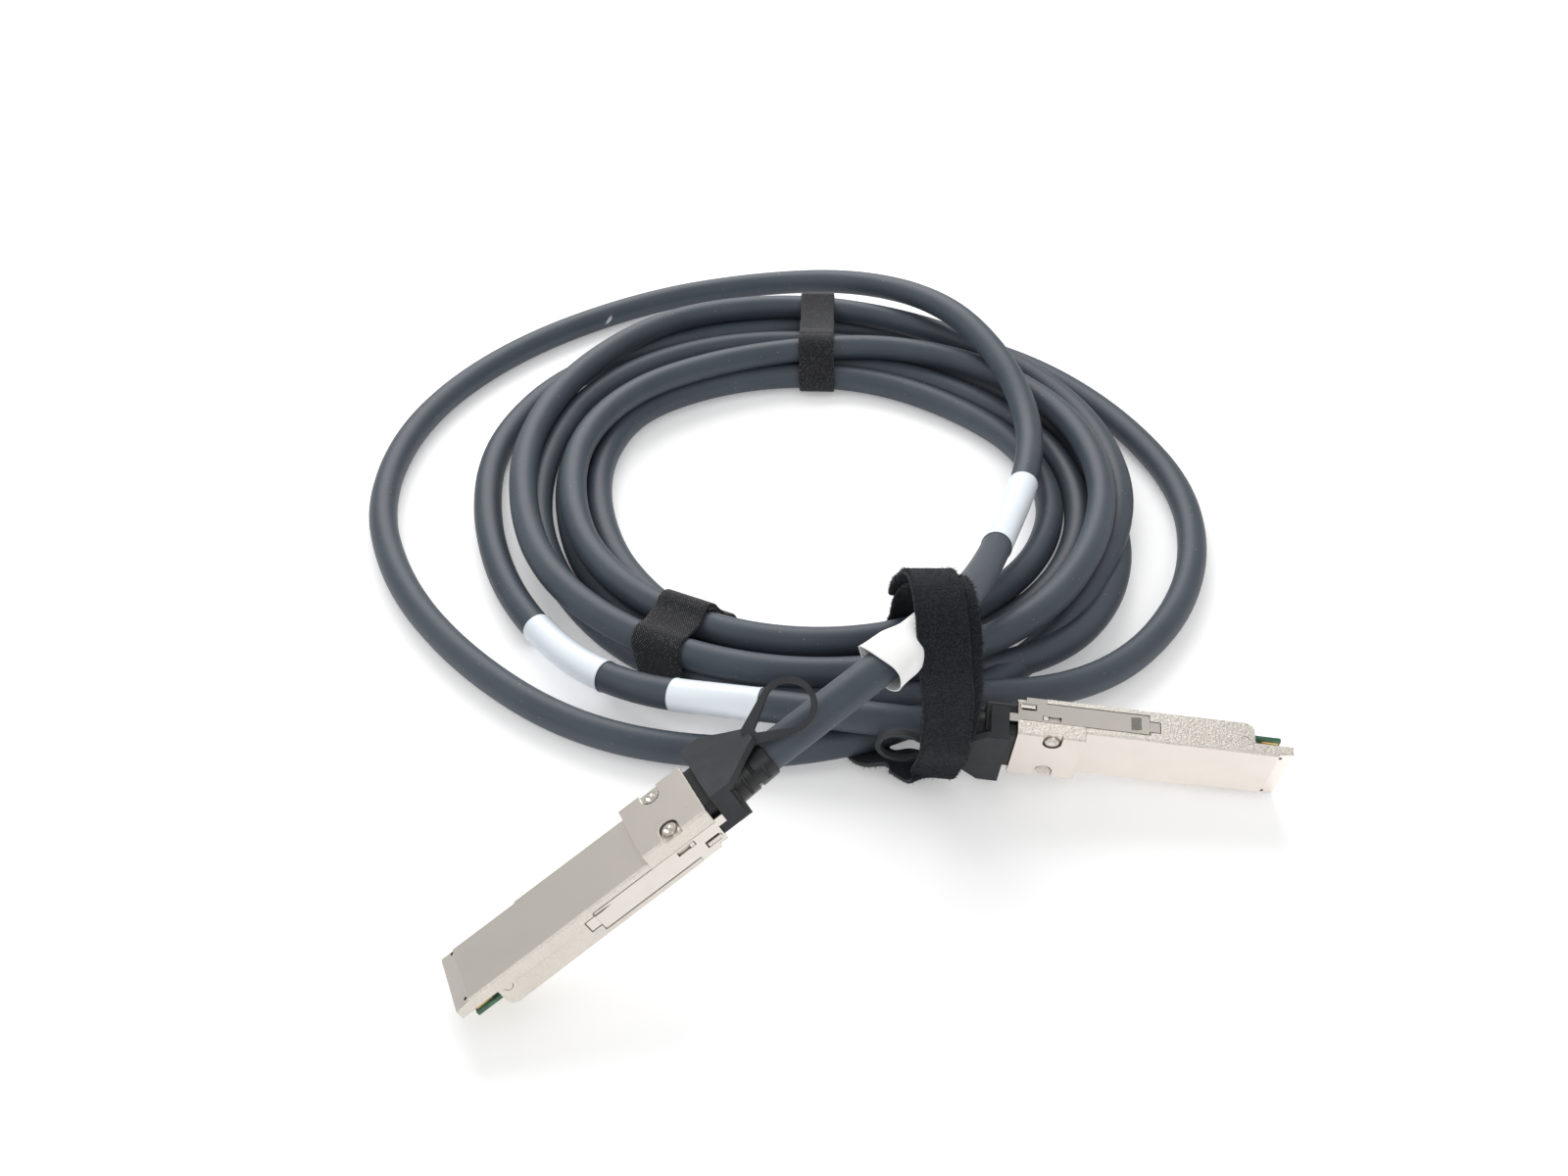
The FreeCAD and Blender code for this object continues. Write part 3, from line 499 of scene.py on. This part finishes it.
back_tie = tie("back_tie", degrees=88, inside=60, outside=112, width=12.0,
               start_share=0.30, turns=1.22, lean=0.04)
front_tie = tie("front_tie", degrees=244, inside=60, outside=98, width=14.5,
                start_share=0.36, turns=1.25, lean=-0.25)

# %% [markdown]
# The wide strap
#
# A wide hook-and-loop strap stands over the turns, the left plug's cable and the right plug's boot. It
# is loose: it rises as a flat wall towards the viewer, bends over the cable and slopes down behind. The
# drawing holds its outline as a few points in one plane. Here a Catmull-Rom curve through points of its
# own gives the soft bends and lets the foot turn aside. It goes round once and a half: the foot of the
# front is one layer, and from part-way up the front to part-way down behind the end laps over the
# start. Low on the front the two lie almost square, and higher up the lap slips to one side, so the
# lower layer shows at its edge.

# %% Strap
STRAP_LINE = np.array([(16, -112.5, 1.6), (25, -120.5, 3.7), (31, -126.2, 4.8), (32.3, -127.7, 8.5),
                       (33.2, -128.9, 13), (34, -130.9, 22), (34.2, -132.2, 36), (33, -132.8, 48),
                       (32.2, -129, 56.5), (31.5, -119.5, 60), (30.8, -108, 55), (30.2, -97, 44.5),
                       (29.8, -86, 34), (29.5, -77, 22.5), (29, -72.5, 10), (24, -78, 0.2)])
STRAP_W, STRAP_T = 12.0, 1.7
STRAP_START, STRAP_TURNS = 0.20, 1.50
STRAP_SLIP = (0.5, 3.0)
STRAP_SLIP_Z = (10, 55)
STRAP_CLIMB = 22
STRAP_LAP = 1.04


def through(points, each=40):
    """Closed Catmull-Rom curve: each piece is the cubic of its four nearest points."""
    p0, p1, p2, p3 = [np.roll(points, k, axis=0)[:, None] for k in (1, 0, -1, -2)]
    t = np.linspace(0, 1, each, endpoint=False)[None, :, None]
    slope, bend, turn = (p2 - p0) / 2, p0 - 2.5 * p1 + 2 * p2 - p3 / 2, 1.5 * (p1 - p2) + (p3 - p0) / 2
    cubic = p1 + t * slope + t**2 * bend + t**3 * turn
    return cubic.reshape(-1, points.shape[1])


def evenly(points, spacing):
    """The same closed line with points at even distances, and the ways along it."""
    closed = np.vstack([points, points[:1]])
    length = np.concatenate([[0], np.cumsum(np.linalg.norm(np.diff(closed, axis=0), axis=1))])
    s = np.linspace(0, length[-1], int(length[-1] / spacing), endpoint=False)
    even = np.column_stack([np.interp(s, length, closed[:, c]) for c in range(3)])
    return even, unit(np.roll(even, -1, 0) - np.roll(even, 1, 0))


def strap_path():
    """The outline walked for more than a turn; on the lap it moves out by a thickness and sideways. Its width
    lies across the walk, as near to X as it can."""
    outline, ahead = evenly(through(STRAP_LINE), 0.6)
    side = unit((1, 0, 0) - ahead[:, :1] * ahead)
    outward = np.cross(side, ahead)
    count = len(outline)
    walk = (int(STRAP_START * count) + np.arange(int(STRAP_TURNS * count))) % count
    lap = ease((np.arange(len(walk)) - count + STRAP_CLIMB) / STRAP_CLIMB)[:, None]
    slip = np.interp(outline[walk, 2:], STRAP_SLIP_Z, STRAP_SLIP)
    path = outline[walk] + STRAP_T * (STRAP_LAP * lap - 0.5) * outward[walk] + slip * (0.5 - lap) * side[walk]
    path[:, 2] = np.maximum(path[:, 2], STRAP_T / 2 + 0.15)
    return path, side[walk], outward[walk]


strap_line, strap_side, strap_out = strap_path()
strap, strap_long = swept_strip("wide_strap_band", strap_line, strap_side, strap_out, STRAP_W, STRAP_T,
                                waver=0.008)
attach(strap, "cable")
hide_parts("wide_strap")
print("strap", round(strap_long, 1), "by", STRAP_W, "mm")

# %% [markdown]
# The strap's nap
#
# Loop cloth is a felt of fine bristling loops, and against the white floor its edges look frayed. Bump
# can't show that at the outline, so sixteen thousand small spikes stand on the band. Each is a closed
# three-sided needle, and all of them are worked out at once from seeded random places, lengths and
# ways.

# %% Nap
NAP_COUNT = 16000
NAP_THICK = 0.07
RUBBED_Y, RUBBED_Z = -112, 26
RUBBED_SHARE = 0.12


def needles(name, root, way, length, thick, seed):
    """Closed needles: a small triangle across each way, and a tip at its length."""
    rng = np.random.default_rng(seed)
    across = unit(np.cross(way, rng.normal(size=way.shape)))
    third = np.cross(way, across)
    turn = np.radians([90, 210, 330])
    ring = np.cos(turn)[None, :, None] * across[:, None] + np.sin(turn)[None, :, None] * third[:, None]
    foot = root[:, None] + thick * ring
    points = np.concatenate([foot, (root + length[:, None] * way)[:, None]], axis=1).reshape(-1, 3)
    points[:, 2] = np.maximum(points[:, 2], STRIP_LOWEST)
    faces = np.array([(2, 1, 0), (0, 1, 3), (1, 2, 3), (2, 0, 3)])
    triangles = (4 * np.arange(len(root))[:, None, None] + faces[None]).reshape(-1, 3)
    mesh = bpy.data.meshes.new(name)
    mesh.from_pydata(place(points).tolist(), [], triangles.tolist())
    piece = bpy.data.objects.new(name, mesh)
    bpy.context.scene.collection.objects.link(piece)
    return piece


def strap_nap():
    """Needles rooted on the band: random rows, and places round its section that favour the edges. They are
    short on the inside of the lower front, where the pull tab slides."""
    rng = np.random.default_rng(7)
    section, _ = strip_section(STRAP_W, STRAP_T)
    at_edge = np.abs(section[:, 0]) > STRAP_W / 2 - STRAP_T
    normal = unit(np.column_stack([section[:, 0] * at_edge, section[:, 1] * 6]))
    row = rng.integers(0, len(strap_line), NAP_COUNT)
    weight = np.where(at_edge, 2.2, 1.0)
    column = rng.choice(len(section), NAP_COUNT, p=weight / weight.sum())
    jitter = rng.uniform(-0.8, 0.8, NAP_COUNT) * ~at_edge[column]
    root = (strap_line[row] + (section[column, 0] + jitter)[:, None] * strap_side[row]
            + section[column, 1][:, None] * strap_out[row])
    stand = normal[column, :1] * strap_side[row] + normal[column, 1:] * strap_out[row]
    way = unit(stand + 0.75 * rng.normal(size=root.shape))
    way[:, 2] = np.where(root[:, 2] < 2, np.abs(way[:, 2]), way[:, 2])
    rubbed = (section[column, 1] < 0.1) & (root[:, 1] < RUBBED_Y) & (root[:, 2] < RUBBED_Z)
    length = rng.gamma(3.0, 0.22, NAP_COUNT) * np.where(rubbed, RUBBED_SHARE, 1)
    return needles("wide_strap_nap", root - 0.1 * stand, way, length, NAP_THICK, seed=8)


nap = strap_nap()
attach(nap, "cable")
print("nap", len(nap.data.polygons), "faces")

# %% [markdown]
# Shader arithmetic
#
# A finish is a small net of nodes. Written with plain node calls it is long and hard to read, so a
# socket is wrapped in a class whose operators add Math nodes: 1 - mask then works as it looks. Colours
# are mixed with Mix nodes, because a Math node would turn them grey, and one method makes any other
# node.

# %% The net and its wires


class Wire:
    """One output socket; arithmetic on it adds a Math node."""

    def __init__(self, net, socket):
        self.net, self.socket = net, socket

    def math(self, operation, *values):
        """Math node of an operation on wires and numbers."""
        return self.net.node("ShaderNodeMath", {"operation": operation}, dict(enumerate(values)))

    def __add__(self, other):
        return self.math("ADD", self, other)

    def __radd__(self, other):
        return self.math("ADD", other, self)

    def __sub__(self, other):
        return self.math("SUBTRACT", self, other)

    def __rsub__(self, other):
        return self.math("SUBTRACT", other, self)

    def __mul__(self, other):
        return self.math("MULTIPLY", self, other)

    def __rmul__(self, other):
        return self.math("MULTIPLY", other, self)

    def __truediv__(self, other):
        return self.math("DIVIDE", self, other)

    def __rtruediv__(self, other):
        return self.math("DIVIDE", other, self)

    def __pow__(self, other):
        return self.math("POWER", self, other)

    def __rpow__(self, other):
        return self.math("POWER", other, self)

    def wave(self):
        """Sine of the value, in radians."""
        return self.math("SINE", self)

    def size(self):
        """The value without its sign."""
        return self.math("ABSOLUTE", self)

    def between(self, low, high):
        """0 below low, 1 above high, smooth between."""
        return self.net.node("ShaderNodeMapRange", {"interpolation_type": "SMOOTHSTEP"},
                             {"Value": self, "From Min": low, "From Max": high})

    def ramp(self, low, high, at_low, at_high):
        """at_low below low, at_high above high, straight between."""
        return self.net.node("ShaderNodeMapRange", {}, {"Value": self, "From Min": low, "From Max": high,
                                                        "To Min": at_low, "To Max": at_high})


class Net:
    """A material with its Principled shader, and the nodes that feed it."""

    def __init__(self, name, **sockets):
        self.material = bpy.data.materials.new(name)
        self.material.use_nodes = True
        self.tree = self.material.node_tree
        self.shader = self.tree.nodes["Principled BSDF"]
        self.set(self.shader, {k.replace("_", " "): v for k, v in sockets.items()})

    def set(self, node, sockets):
        """Numbers and colours go onto sockets, and wires are linked to them."""
        for key, value in sockets.items():
            if isinstance(value, Wire):
                self.tree.links.new(value.socket, node.inputs[key])
            elif isinstance(value, tuple) and len(node.inputs[key].default_value) == 4 and len(value) == 3:
                node.inputs[key].default_value = (*value, 1.0)
            else:
                node.inputs[key].default_value = value

    def node(self, kind, settings, sockets, output=0):
        """Any node: its type, its settings first, then its sockets; returns one output."""
        made = self.tree.nodes.new(kind)
        for key, value in settings.items():
            setattr(made, key, value)
        self.set(made, sockets)
        return Wire(self, made.outputs[output])

    def mix(self, share, a, b):
        """Colour a where share is 0 and b where it is 1."""
        return self.node("ShaderNodeMix", {"data_type": "RGBA"}, {0: share, 6: a, 7: b}, output=2)

    def place(self, kind="Object"):
        """Object coordinates, or another output of Texture Coordinate."""
        return self.node("ShaderNodeTexCoord", {}, {}, output=kind)

    def vectors(self, operation, *values, output=0):
        """Vector Math on vectors; a dot product or a length comes from output 1."""
        return self.node("ShaderNodeVectorMath", {"operation": operation}, dict(enumerate(values)), output)

    def parts(self, vector):
        """The X, Y and Z of a vector."""
        first = self.node("ShaderNodeSeparateXYZ", {}, {0: vector})
        return [Wire(self, socket) for socket in first.socket.node.outputs]

    def noise(self, scale, detail=2.0, rough=0.5, stretch=None):
        """Noise from 0 to 1 with scale cells to the metre, longer in a direction where stretch is small."""
        vector = self.place()
        if stretch:
            vector = self.vectors("MULTIPLY", vector, stretch)
        return self.node("ShaderNodeTexNoise", {}, {"Vector": vector, "Scale": scale, "Detail": detail,
                                                    "Roughness": rough})

    def bump(self, height, depth, strength=1.0, normal=None):
        """Bump normal from a height from 0 to 1, which stands for depth metres."""
        sockets = {"Height": height, "Distance": depth, "Strength": strength}
        return self.node("ShaderNodeBump", {}, sockets | ({"Normal": normal} if normal else {}))

    def round_edges(self, radius):
        """Normals that round the sharp edges of a solid by a radius."""
        return self.node("ShaderNodeBevel", {"samples": 4}, {"Radius": radius})

    def painted_crevice_shade(self, depth):
        """Mask for painted shade: 1 in corners and gaps that are narrower than depth metres, 0 on open faces.
        """
        shaded = self.node("ShaderNodeAmbientOcclusion", {"samples": 12}, {"Distance": depth}, output="AO")
        return 1 - shaded.between(0.30, 0.80)

    def done(self, **sockets):
        """Feeds the shader and gives back the material."""
        self.set(self.shader, {k.replace("_", " "): v for k, v in sockets.items()})
        return self.material


def dress(piece, material):
    """Puts one material on a piece, or in every slot of a CAD node."""
    if piece.material_slots:
        for slot in piece.material_slots:
            slot.material = material
    else:
        piece.data.materials.append(material)


print("shader tools ready")

# %% [markdown]
# The cable's jacket
#
# The jacket is slate-black soft plastic with a dry, slightly cloudy surface: broad grey highlights,
# faint patches where it has been handled, very fine grain, and a few specks of dust. One pale scuff
# sits on the loose loop at the back.

# %% Jacket
SCUFF_AT = (-69.7, 101.8, 5.3)
SCUFF_WAY = (-0.55, -0.55, -0.63)
SCUFF_LONG, SCUFF_WIDE = 0.0024, 0.0009


def jacket_finish():
    """Cloudy slate black; noise of three sizes drives colour, gloss and grain."""
    net = Net("jacket", IOR=1.5)
    cloud = net.noise(38, 3, 0.6)
    fine = net.noise(900, 2, 0.5)
    grain = net.noise(4200, 1, 0.5)
    dust = net.noise(1500, 0, 0.5).between(0.83, 0.87)
    offset = net.vectors("SUBTRACT", net.place(), tuple(place(SCUFF_AT)))
    lengthwise = net.vectors("DOT_PRODUCT", offset, SCUFF_WAY, output=1)
    away = net.vectors("LENGTH", offset, output=1)
    across = (away * away - lengthwise * lengthwise).size() ** 0.5
    reach = ((lengthwise / SCUFF_LONG) ** 2 + (across / SCUFF_WIDE) ** 2 + net.noise(2600, 2) * 0.5) ** 0.5
    scuff = 1 - reach.between(0.55, 1.15)
    colour = net.mix(cloud.between(0.3, 0.7), (0.042, 0.055, 0.073), (0.055, 0.070, 0.090))
    colour = net.mix(dust * 0.25 + scuff * 0.8, colour, (0.62, 0.65, 0.68))
    return net.done(Base_Color=colour, Roughness=0.44 + 0.10 * cloud + 0.05 * fine + 0.2 * scuff,
                    Normal=net.bump(grain * 0.6 + fine * 0.4, 0.00004, 0.6))


dress(cable, jacket_finish())
print("jacket done")

# %% [markdown]
# Cast shells, rivets and slider
#
# The shells are zinc castings under satin nickel: warm white metal with a fine orange-peel grain, soft edges
# and faint handling marks. The slider and the rivets are bright stamped steel with a brushed grain. The right
# plug's ground face is painted brighter, a painted reflection of the bright floor, and its casting is
# coarser, so each plug has a nickel of its own. Corners and narrow gaps of the metal get painted shade.
# Rounded edges matter on metal, because an edge that catches no light looks computed, so a Bevel node rounds
# the normals.

# %% Nickel and steel


def nickel_finish(name, broad, ground, coarse):
    """Satin nickel: faces that look the broad way are ground smooth, and all others keep the casting's grain,
    which a coarse casting also shows as dark specks. The smooth faces take a colour of their own, which on
    the right plug is a painted reflection, and crevices get painted shade."""
    net = Net(name, Metallic=1.0)
    facing = net.vectors("DOT_PRODUCT", net.place("Normal"), tuple(broad), output=1)
    smooth = facing.size().between(0.80, 0.95)
    cloud = net.noise(160, 3, 0.6)
    grain = net.noise(3600, 2, 0.6)
    cast = net.noise(1500, 3, 0.8)
    colour = net.mix(cloud.between(0.25, 0.75), (0.76, 0.71, 0.645), (0.80, 0.75, 0.685))
    specks = net.noise(2400, 2, 0.7).between(0.44, 0.66) * (1 - smooth) * coarse
    colour = net.mix(specks, colour, (0.30, 0.28, 0.26))
    # Smooth faces take the given colour; on the right plug it is brighter, a painted reflection of the bright
    # floor.
    colour = net.mix(smooth * (0.7 + 0.3 * cloud), colour, ground)
    # Painted shade: corners and gaps narrower than 0.8 mm turn dark brown-grey.
    colour = net.mix(net.painted_crevice_shade(0.0008), colour, (0.09, 0.08, 0.07))
    rough = 0.30 + 0.05 * cloud - 0.04 * smooth
    height = grain * 0.09 + cast * (1 - smooth)
    return net.done(Base_Color=colour, Roughness=rough,
                    Normal=net.bump(height, 0.00035, 0.8, net.round_edges(0.00022)))


def steel_finish():
    """Bright stamped steel with a fine brushed grain, and painted shade in its crevices."""
    net = Net("stamped_steel", Metallic=1.0)
    brush = net.noise(2600, 2, 0.6, stretch=(0.12, 1.0, 1.0))
    cloud = net.noise(220, 2, 0.5)
    colour = net.mix(cloud, (0.69, 0.645, 0.59), (0.75, 0.705, 0.65))
    # Painted shade: corners and gaps narrower than 0.6 mm turn dark.
    colour = net.mix(net.painted_crevice_shade(0.0006), colour, (0.09, 0.08, 0.07))
    return net.done(Base_Color=colour, Roughness=0.20 + 0.03 * brush + 0.04 * cloud,
                    Normal=net.bump(brush, 0.000002, 0.3, net.round_edges(0.00012)))


steel = steel_finish()
# The right plug's brighter colour for its smooth faces is a painted reflection of the bright floor.
for side, where, ground, coarse in (("left_", LEFT_PLUG, (0.77, 0.72, 0.655), 0.12),
                                    ("right_", RIGHT_PLUG, (0.96, 0.90, 0.84), 0.45)):
    nickel = nickel_finish(side + "nickel", where[1][:, 2], ground, coarse)
    dress(nodes[side + "upper_shell"], nickel)
    dress(nodes[side + "lower_shell"], nickel)
    dress(nodes[side + "rivets"], steel)
    dress(nodes[side + "latch_slider"], steel)
print("metal done")

# %% [markdown]
# Card, contacts and wires
#
# The card in each nose is a green solder-masked board with gold fingers. The wires behind it are
# wrapped in silvery film; only a service view sees them.

# %% Card, contacts, wires


def card_finish():
    """Green solder mask over faint copper tracks."""
    net = Net("solder_mask", Coat_Weight=0.4, Coat_Roughness=0.1)
    tracks = net.noise(700, 0, 0.5, stretch=(0.2, 1.0, 1.0)).between(0.48, 0.53)
    colour = net.mix(tracks, (0.018, 0.105, 0.050), (0.030, 0.165, 0.075))
    return net.done(Base_Color=colour, Roughness=0.30 + 0.1 * tracks, Normal=net.bump(tracks, 0.00002, 0.5))


def gold_finish():
    """Gold plating with a faint wipe mark."""
    net = Net("gold_plate", Metallic=1.0)
    wipe = net.noise(1500, 2, 0.5, stretch=(0.2, 1.0, 1.0))
    colour = net.mix(wipe, (0.80, 0.56, 0.20), (0.93, 0.70, 0.32))
    return net.done(Base_Color=colour, Roughness=0.2 + 0.15 * wipe)


def film_finish():
    """Silvery film wrapped round the pairs, with slanting laps."""
    net = Net("pair_film", Metallic=0.8)
    x, y, _ = net.parts(net.place())
    laps = ((x + y * 0.4) * 5200).wave()
    return net.done(Base_Color=net.mix(laps * 0.5 + 0.5, (0.50, 0.52, 0.55), (0.70, 0.71, 0.73)),
                    Roughness=0.34 + 0.06 * laps, Normal=net.bump(laps, 0.00004, 0.5))


card, gold, film = card_finish(), gold_finish(), film_finish()
for side in ("left_", "right_"):
    dress(nodes[side + "paddle_card"], card)
    dress(nodes[side + "contact_pads"], gold)
    dress(nodes[side + "wire_pairs"], film)
print("card done")

# %% [markdown]
# Moulded tabs and boots
#
# Tab, block and boot are black mouldings with the fine spark-eroded grain of their tool. On the tab it
# scatters the light and leaves a dull charcoal. The block and the boot are blacker and more glossy, so
# one function makes both finishes from two colours and a roughness.

# %% Moulding


def moulding_finish(name, dark, pale, rough):
    """Charcoal with spark grain, slightly paler on rubbed patches, and painted shade in crevices."""
    net = Net(name, IOR=1.45)
    grain = net.noise(5200, 2, 0.6)
    cloud = net.noise(120, 3, 0.6)
    colour = net.mix(cloud.between(0.3, 0.75), dark, pale)
    # Painted shade: corners and gaps narrower than 1.4 mm turn black.
    colour = net.mix(net.painted_crevice_shade(0.0014), colour, (0.003, 0.003, 0.003))
    return net.done(Base_Color=colour, Roughness=rough + 0.12 * grain,
                    Normal=net.bump(grain, 0.00005, 0.6, net.round_edges(0.0003)))


matte = moulding_finish("matte_moulding", dark=(0.022, 0.025, 0.029), pale=(0.034, 0.038, 0.043), rough=0.62)
satin = moulding_finish("satin_moulding", dark=(0.007, 0.008, 0.010), pale=(0.012, 0.013, 0.015), rough=0.28)
for side in ("left_", "right_"):
    dress(nodes[side + "pull_tab"], matte)
    dress(nodes[side + "strain_relief"], satin)
print("mouldings done")

# %% [markdown]
# Film, paper and cloth
#
# Label film is pale blue-white and slightly glossy. The flag is plain white paper. The ties are woven: ribs
# along and picks across make a fine lattice, and painted glints sit on some of its crossings, in patches. The
# strap is felted and nearly black, with a faint sheen and a paler line along one edge. An image could hold
# such patterns, but formulas on the pieces' own UV maps, which are in metres, keep their size.

# %% Labels and flag


def label_finish():
    """Bluish white film, slightly cloudy, with gloss."""
    net = Net("label_film", IOR=1.48)
    cloud = net.noise(140, 2, 0.5)
    fibre = net.noise(2600, 1, 0.5)
    colour = net.mix(cloud, (0.84, 0.905, 0.97), (0.88, 0.935, 0.985))
    return net.done(Base_Color=colour, Roughness=0.30 + 0.12 * cloud, Normal=net.bump(fibre, 0.00001, 0.5))


def paper_finish():
    """White paper with a soft tooth."""
    net = Net("flag_paper", IOR=1.4)
    tooth = net.noise(2400, 2, 0.6)
    cloud = net.noise(180, 2, 0.5)
    colour = net.mix(cloud, (0.93, 0.93, 0.92), (0.97, 0.97, 0.96))
    return net.done(Base_Color=colour, Roughness=0.55 + 0.1 * tooth, Normal=net.bump(tooth, 0.00002, 0.5))


label, paper = label_finish(), paper_finish()
for piece in labels:
    dress(piece, label)
dress(flag, paper)
print("labels and flag done")

# %% Ties and strap
RIB_WAVE, PICK_WAVE = 9000, 7000
STRAP_PICK_WAVE = 4600


def weave_finish():
    """Plain weave: the product of two sine waves in UV, with painted glints on sparse crossings."""
    net = Net("woven_tie", Specular_IOR_Level=0.2, Sheen_Weight=0.15, Sheen_Roughness=0.4)
    u, v, _ = net.parts(net.place("UV"))
    warp = (v * RIB_WAVE).wave()
    weft = (u * PICK_WAVE).wave()
    weave = warp * weft * 0.5 + 0.5
    # Painted glints: pale colour on raised crossings, in noisy patches, with lower roughness.
    glint_patches = net.noise(130, 2, 0.6).between(0.40, 0.65) * 0.5 + 0.5
    spark = weave.between(0.62, 0.92) * net.noise(1400, 0, 0.5).between(0.50, 0.66) * glint_patches
    colour = net.mix(weave ** 3, (0.003, 0.0032, 0.004), (0.060, 0.063, 0.072))
    colour = net.mix(spark * 0.6, colour, (0.30, 0.30, 0.31))
    return net.done(Base_Color=colour, Roughness=0.62 - 0.15 * spark, Normal=net.bump(weave, 0.00022, 0.8))


def nap_finish():
    """Near-black felt, cloudy and rough, with sheen from its loops and a paler line along an edge."""
    net = Net("napped_strap", Specular_IOR_Level=0.15, Sheen_Weight=0.04, Sheen_Roughness=0.5)
    tuft = net.noise(2600, 3, 0.7)
    cloud = net.noise(260, 2, 0.5)
    u, v, _ = net.parts(net.place("UV"))
    pick = (u * STRAP_PICK_WAVE + net.noise(700, 2) * 22).wave() * 0.5 + 0.5
    # A paler line along one edge of the strip.
    pale_edge_line = 1 - ((v - (STRAP_W - 0.2 * STRAP_T) * MM).size() / MM).between(0.25, 0.6)
    colour = net.mix(tuft.between(0.35, 0.7), (0.005, 0.0065, 0.009), (0.027, 0.032, 0.040))
    colour = net.mix(pale_edge_line * 0.5, colour, (0.09, 0.095, 0.10))
    return net.done(Base_Color=colour, Roughness=0.80 + 0.15 * cloud,
                    Normal=net.bump(tuft * 0.75 + pick * 0.25, 0.00035, 0.9))


woven, felt = weave_finish(), nap_finish()
dress(back_tie, woven)
dress(front_tie, woven)
dress(strap, felt)
dress(nap, felt)
print("cloth done")

# %% [markdown]
# Floor and light
#
# The photograph was taken on a white sweep in a light tent. A large plane is the sweep, and it glows a
# little: painted light that lifts the floor and its shadows and brightens what mirrors it. A strong softbox
# hangs behind and above, and two weak ones fill from the left and from the front. The world is the tent's
# white cloth, brighter overhead. Bare steel shows what it faces, so the cloth has one dark opening above the
# part, and the latch's ramp turns dark where it mirrors it.

# %% Floor and lights
FLOOR_HALF = 3.0

floor = surface("floor", np.array([[(-FLOOR_HALF, -FLOOR_HALF, 0), (FLOOR_HALF, -FLOOR_HALF, 0)],
                                   [(-FLOOR_HALF, FLOOR_HALF, 0), (FLOOR_HALF, FLOOR_HALF, 0)]]))
# Painted light: the floor glows with an emission of 0.25, which lifts its shadows and what mirrors it.
sweep = Net("white_sweep", Specular_IOR_Level=0.2, Emission_Color=(1.0, 1.0, 1.0), Emission_Strength=0.25)
paper_white = sweep.mix(sweep.noise(9, 2), (0.90, 0.90, 0.905), (0.93, 0.93, 0.93))
dress(floor, sweep.done(Base_Color=paper_white, Roughness=0.6))


def softbox(name, at, aim, size, watts):
    """Square area light that faces a point."""
    lamp = bpy.data.lights.new(name, "AREA")
    lamp.shape, lamp.size, lamp.energy = "SQUARE", size, watts
    box = bpy.data.objects.new(name, lamp)
    x, y, z = np.array(aim, float) - np.array(at, float)
    box.location = at
    box.rotation_euler = (math.atan2(math.hypot(x, y), -z), 0, math.atan2(-x, y))
    bpy.context.scene.collection.objects.link(box)


softbox("back_top", at=(-0.2, 0.95, 0.8), aim=(0, 0, 0), size=1.0, watts=11)
softbox("left_side", at=(-1.0, -0.3, 0.7), aim=(0, 0, 0), size=0.7, watts=1.6)
softbox("front_fill", at=(0.3, -1.1, 0.9), aim=(0, 0, 0), size=0.7, watts=2.2)
print("floor and three softboxes")

# %% The tent
TENT_GAP_WAY = (-0.04, 0.32, 0.945)


class Tent(Net):
    """The world's net, which feeds its Background shader."""

    def __init__(self, name):
        self.world = bpy.data.worlds.new(name)
        self.world.use_nodes = True
        self.tree = self.world.node_tree
        self.shader = self.tree.nodes["Background"]


tent = Tent("tent")
way = tent.place("Generated")
overhead = tent.parts(way)[2].ramp(0.0, 0.7, 0.42, 0.72)
opening = tent.vectors("DOT_PRODUCT", way, TENT_GAP_WAY, output=1).ramp(0.966, 0.984, 1.0, 0.05)
tent.set(tent.shader, {"Color": (1.0, 1.0, 1.0), "Strength": overhead * opening})
bpy.context.scene.world = tent.world
bpy.context.scene.view_settings.view_transform = "Standard"
print("tent done")
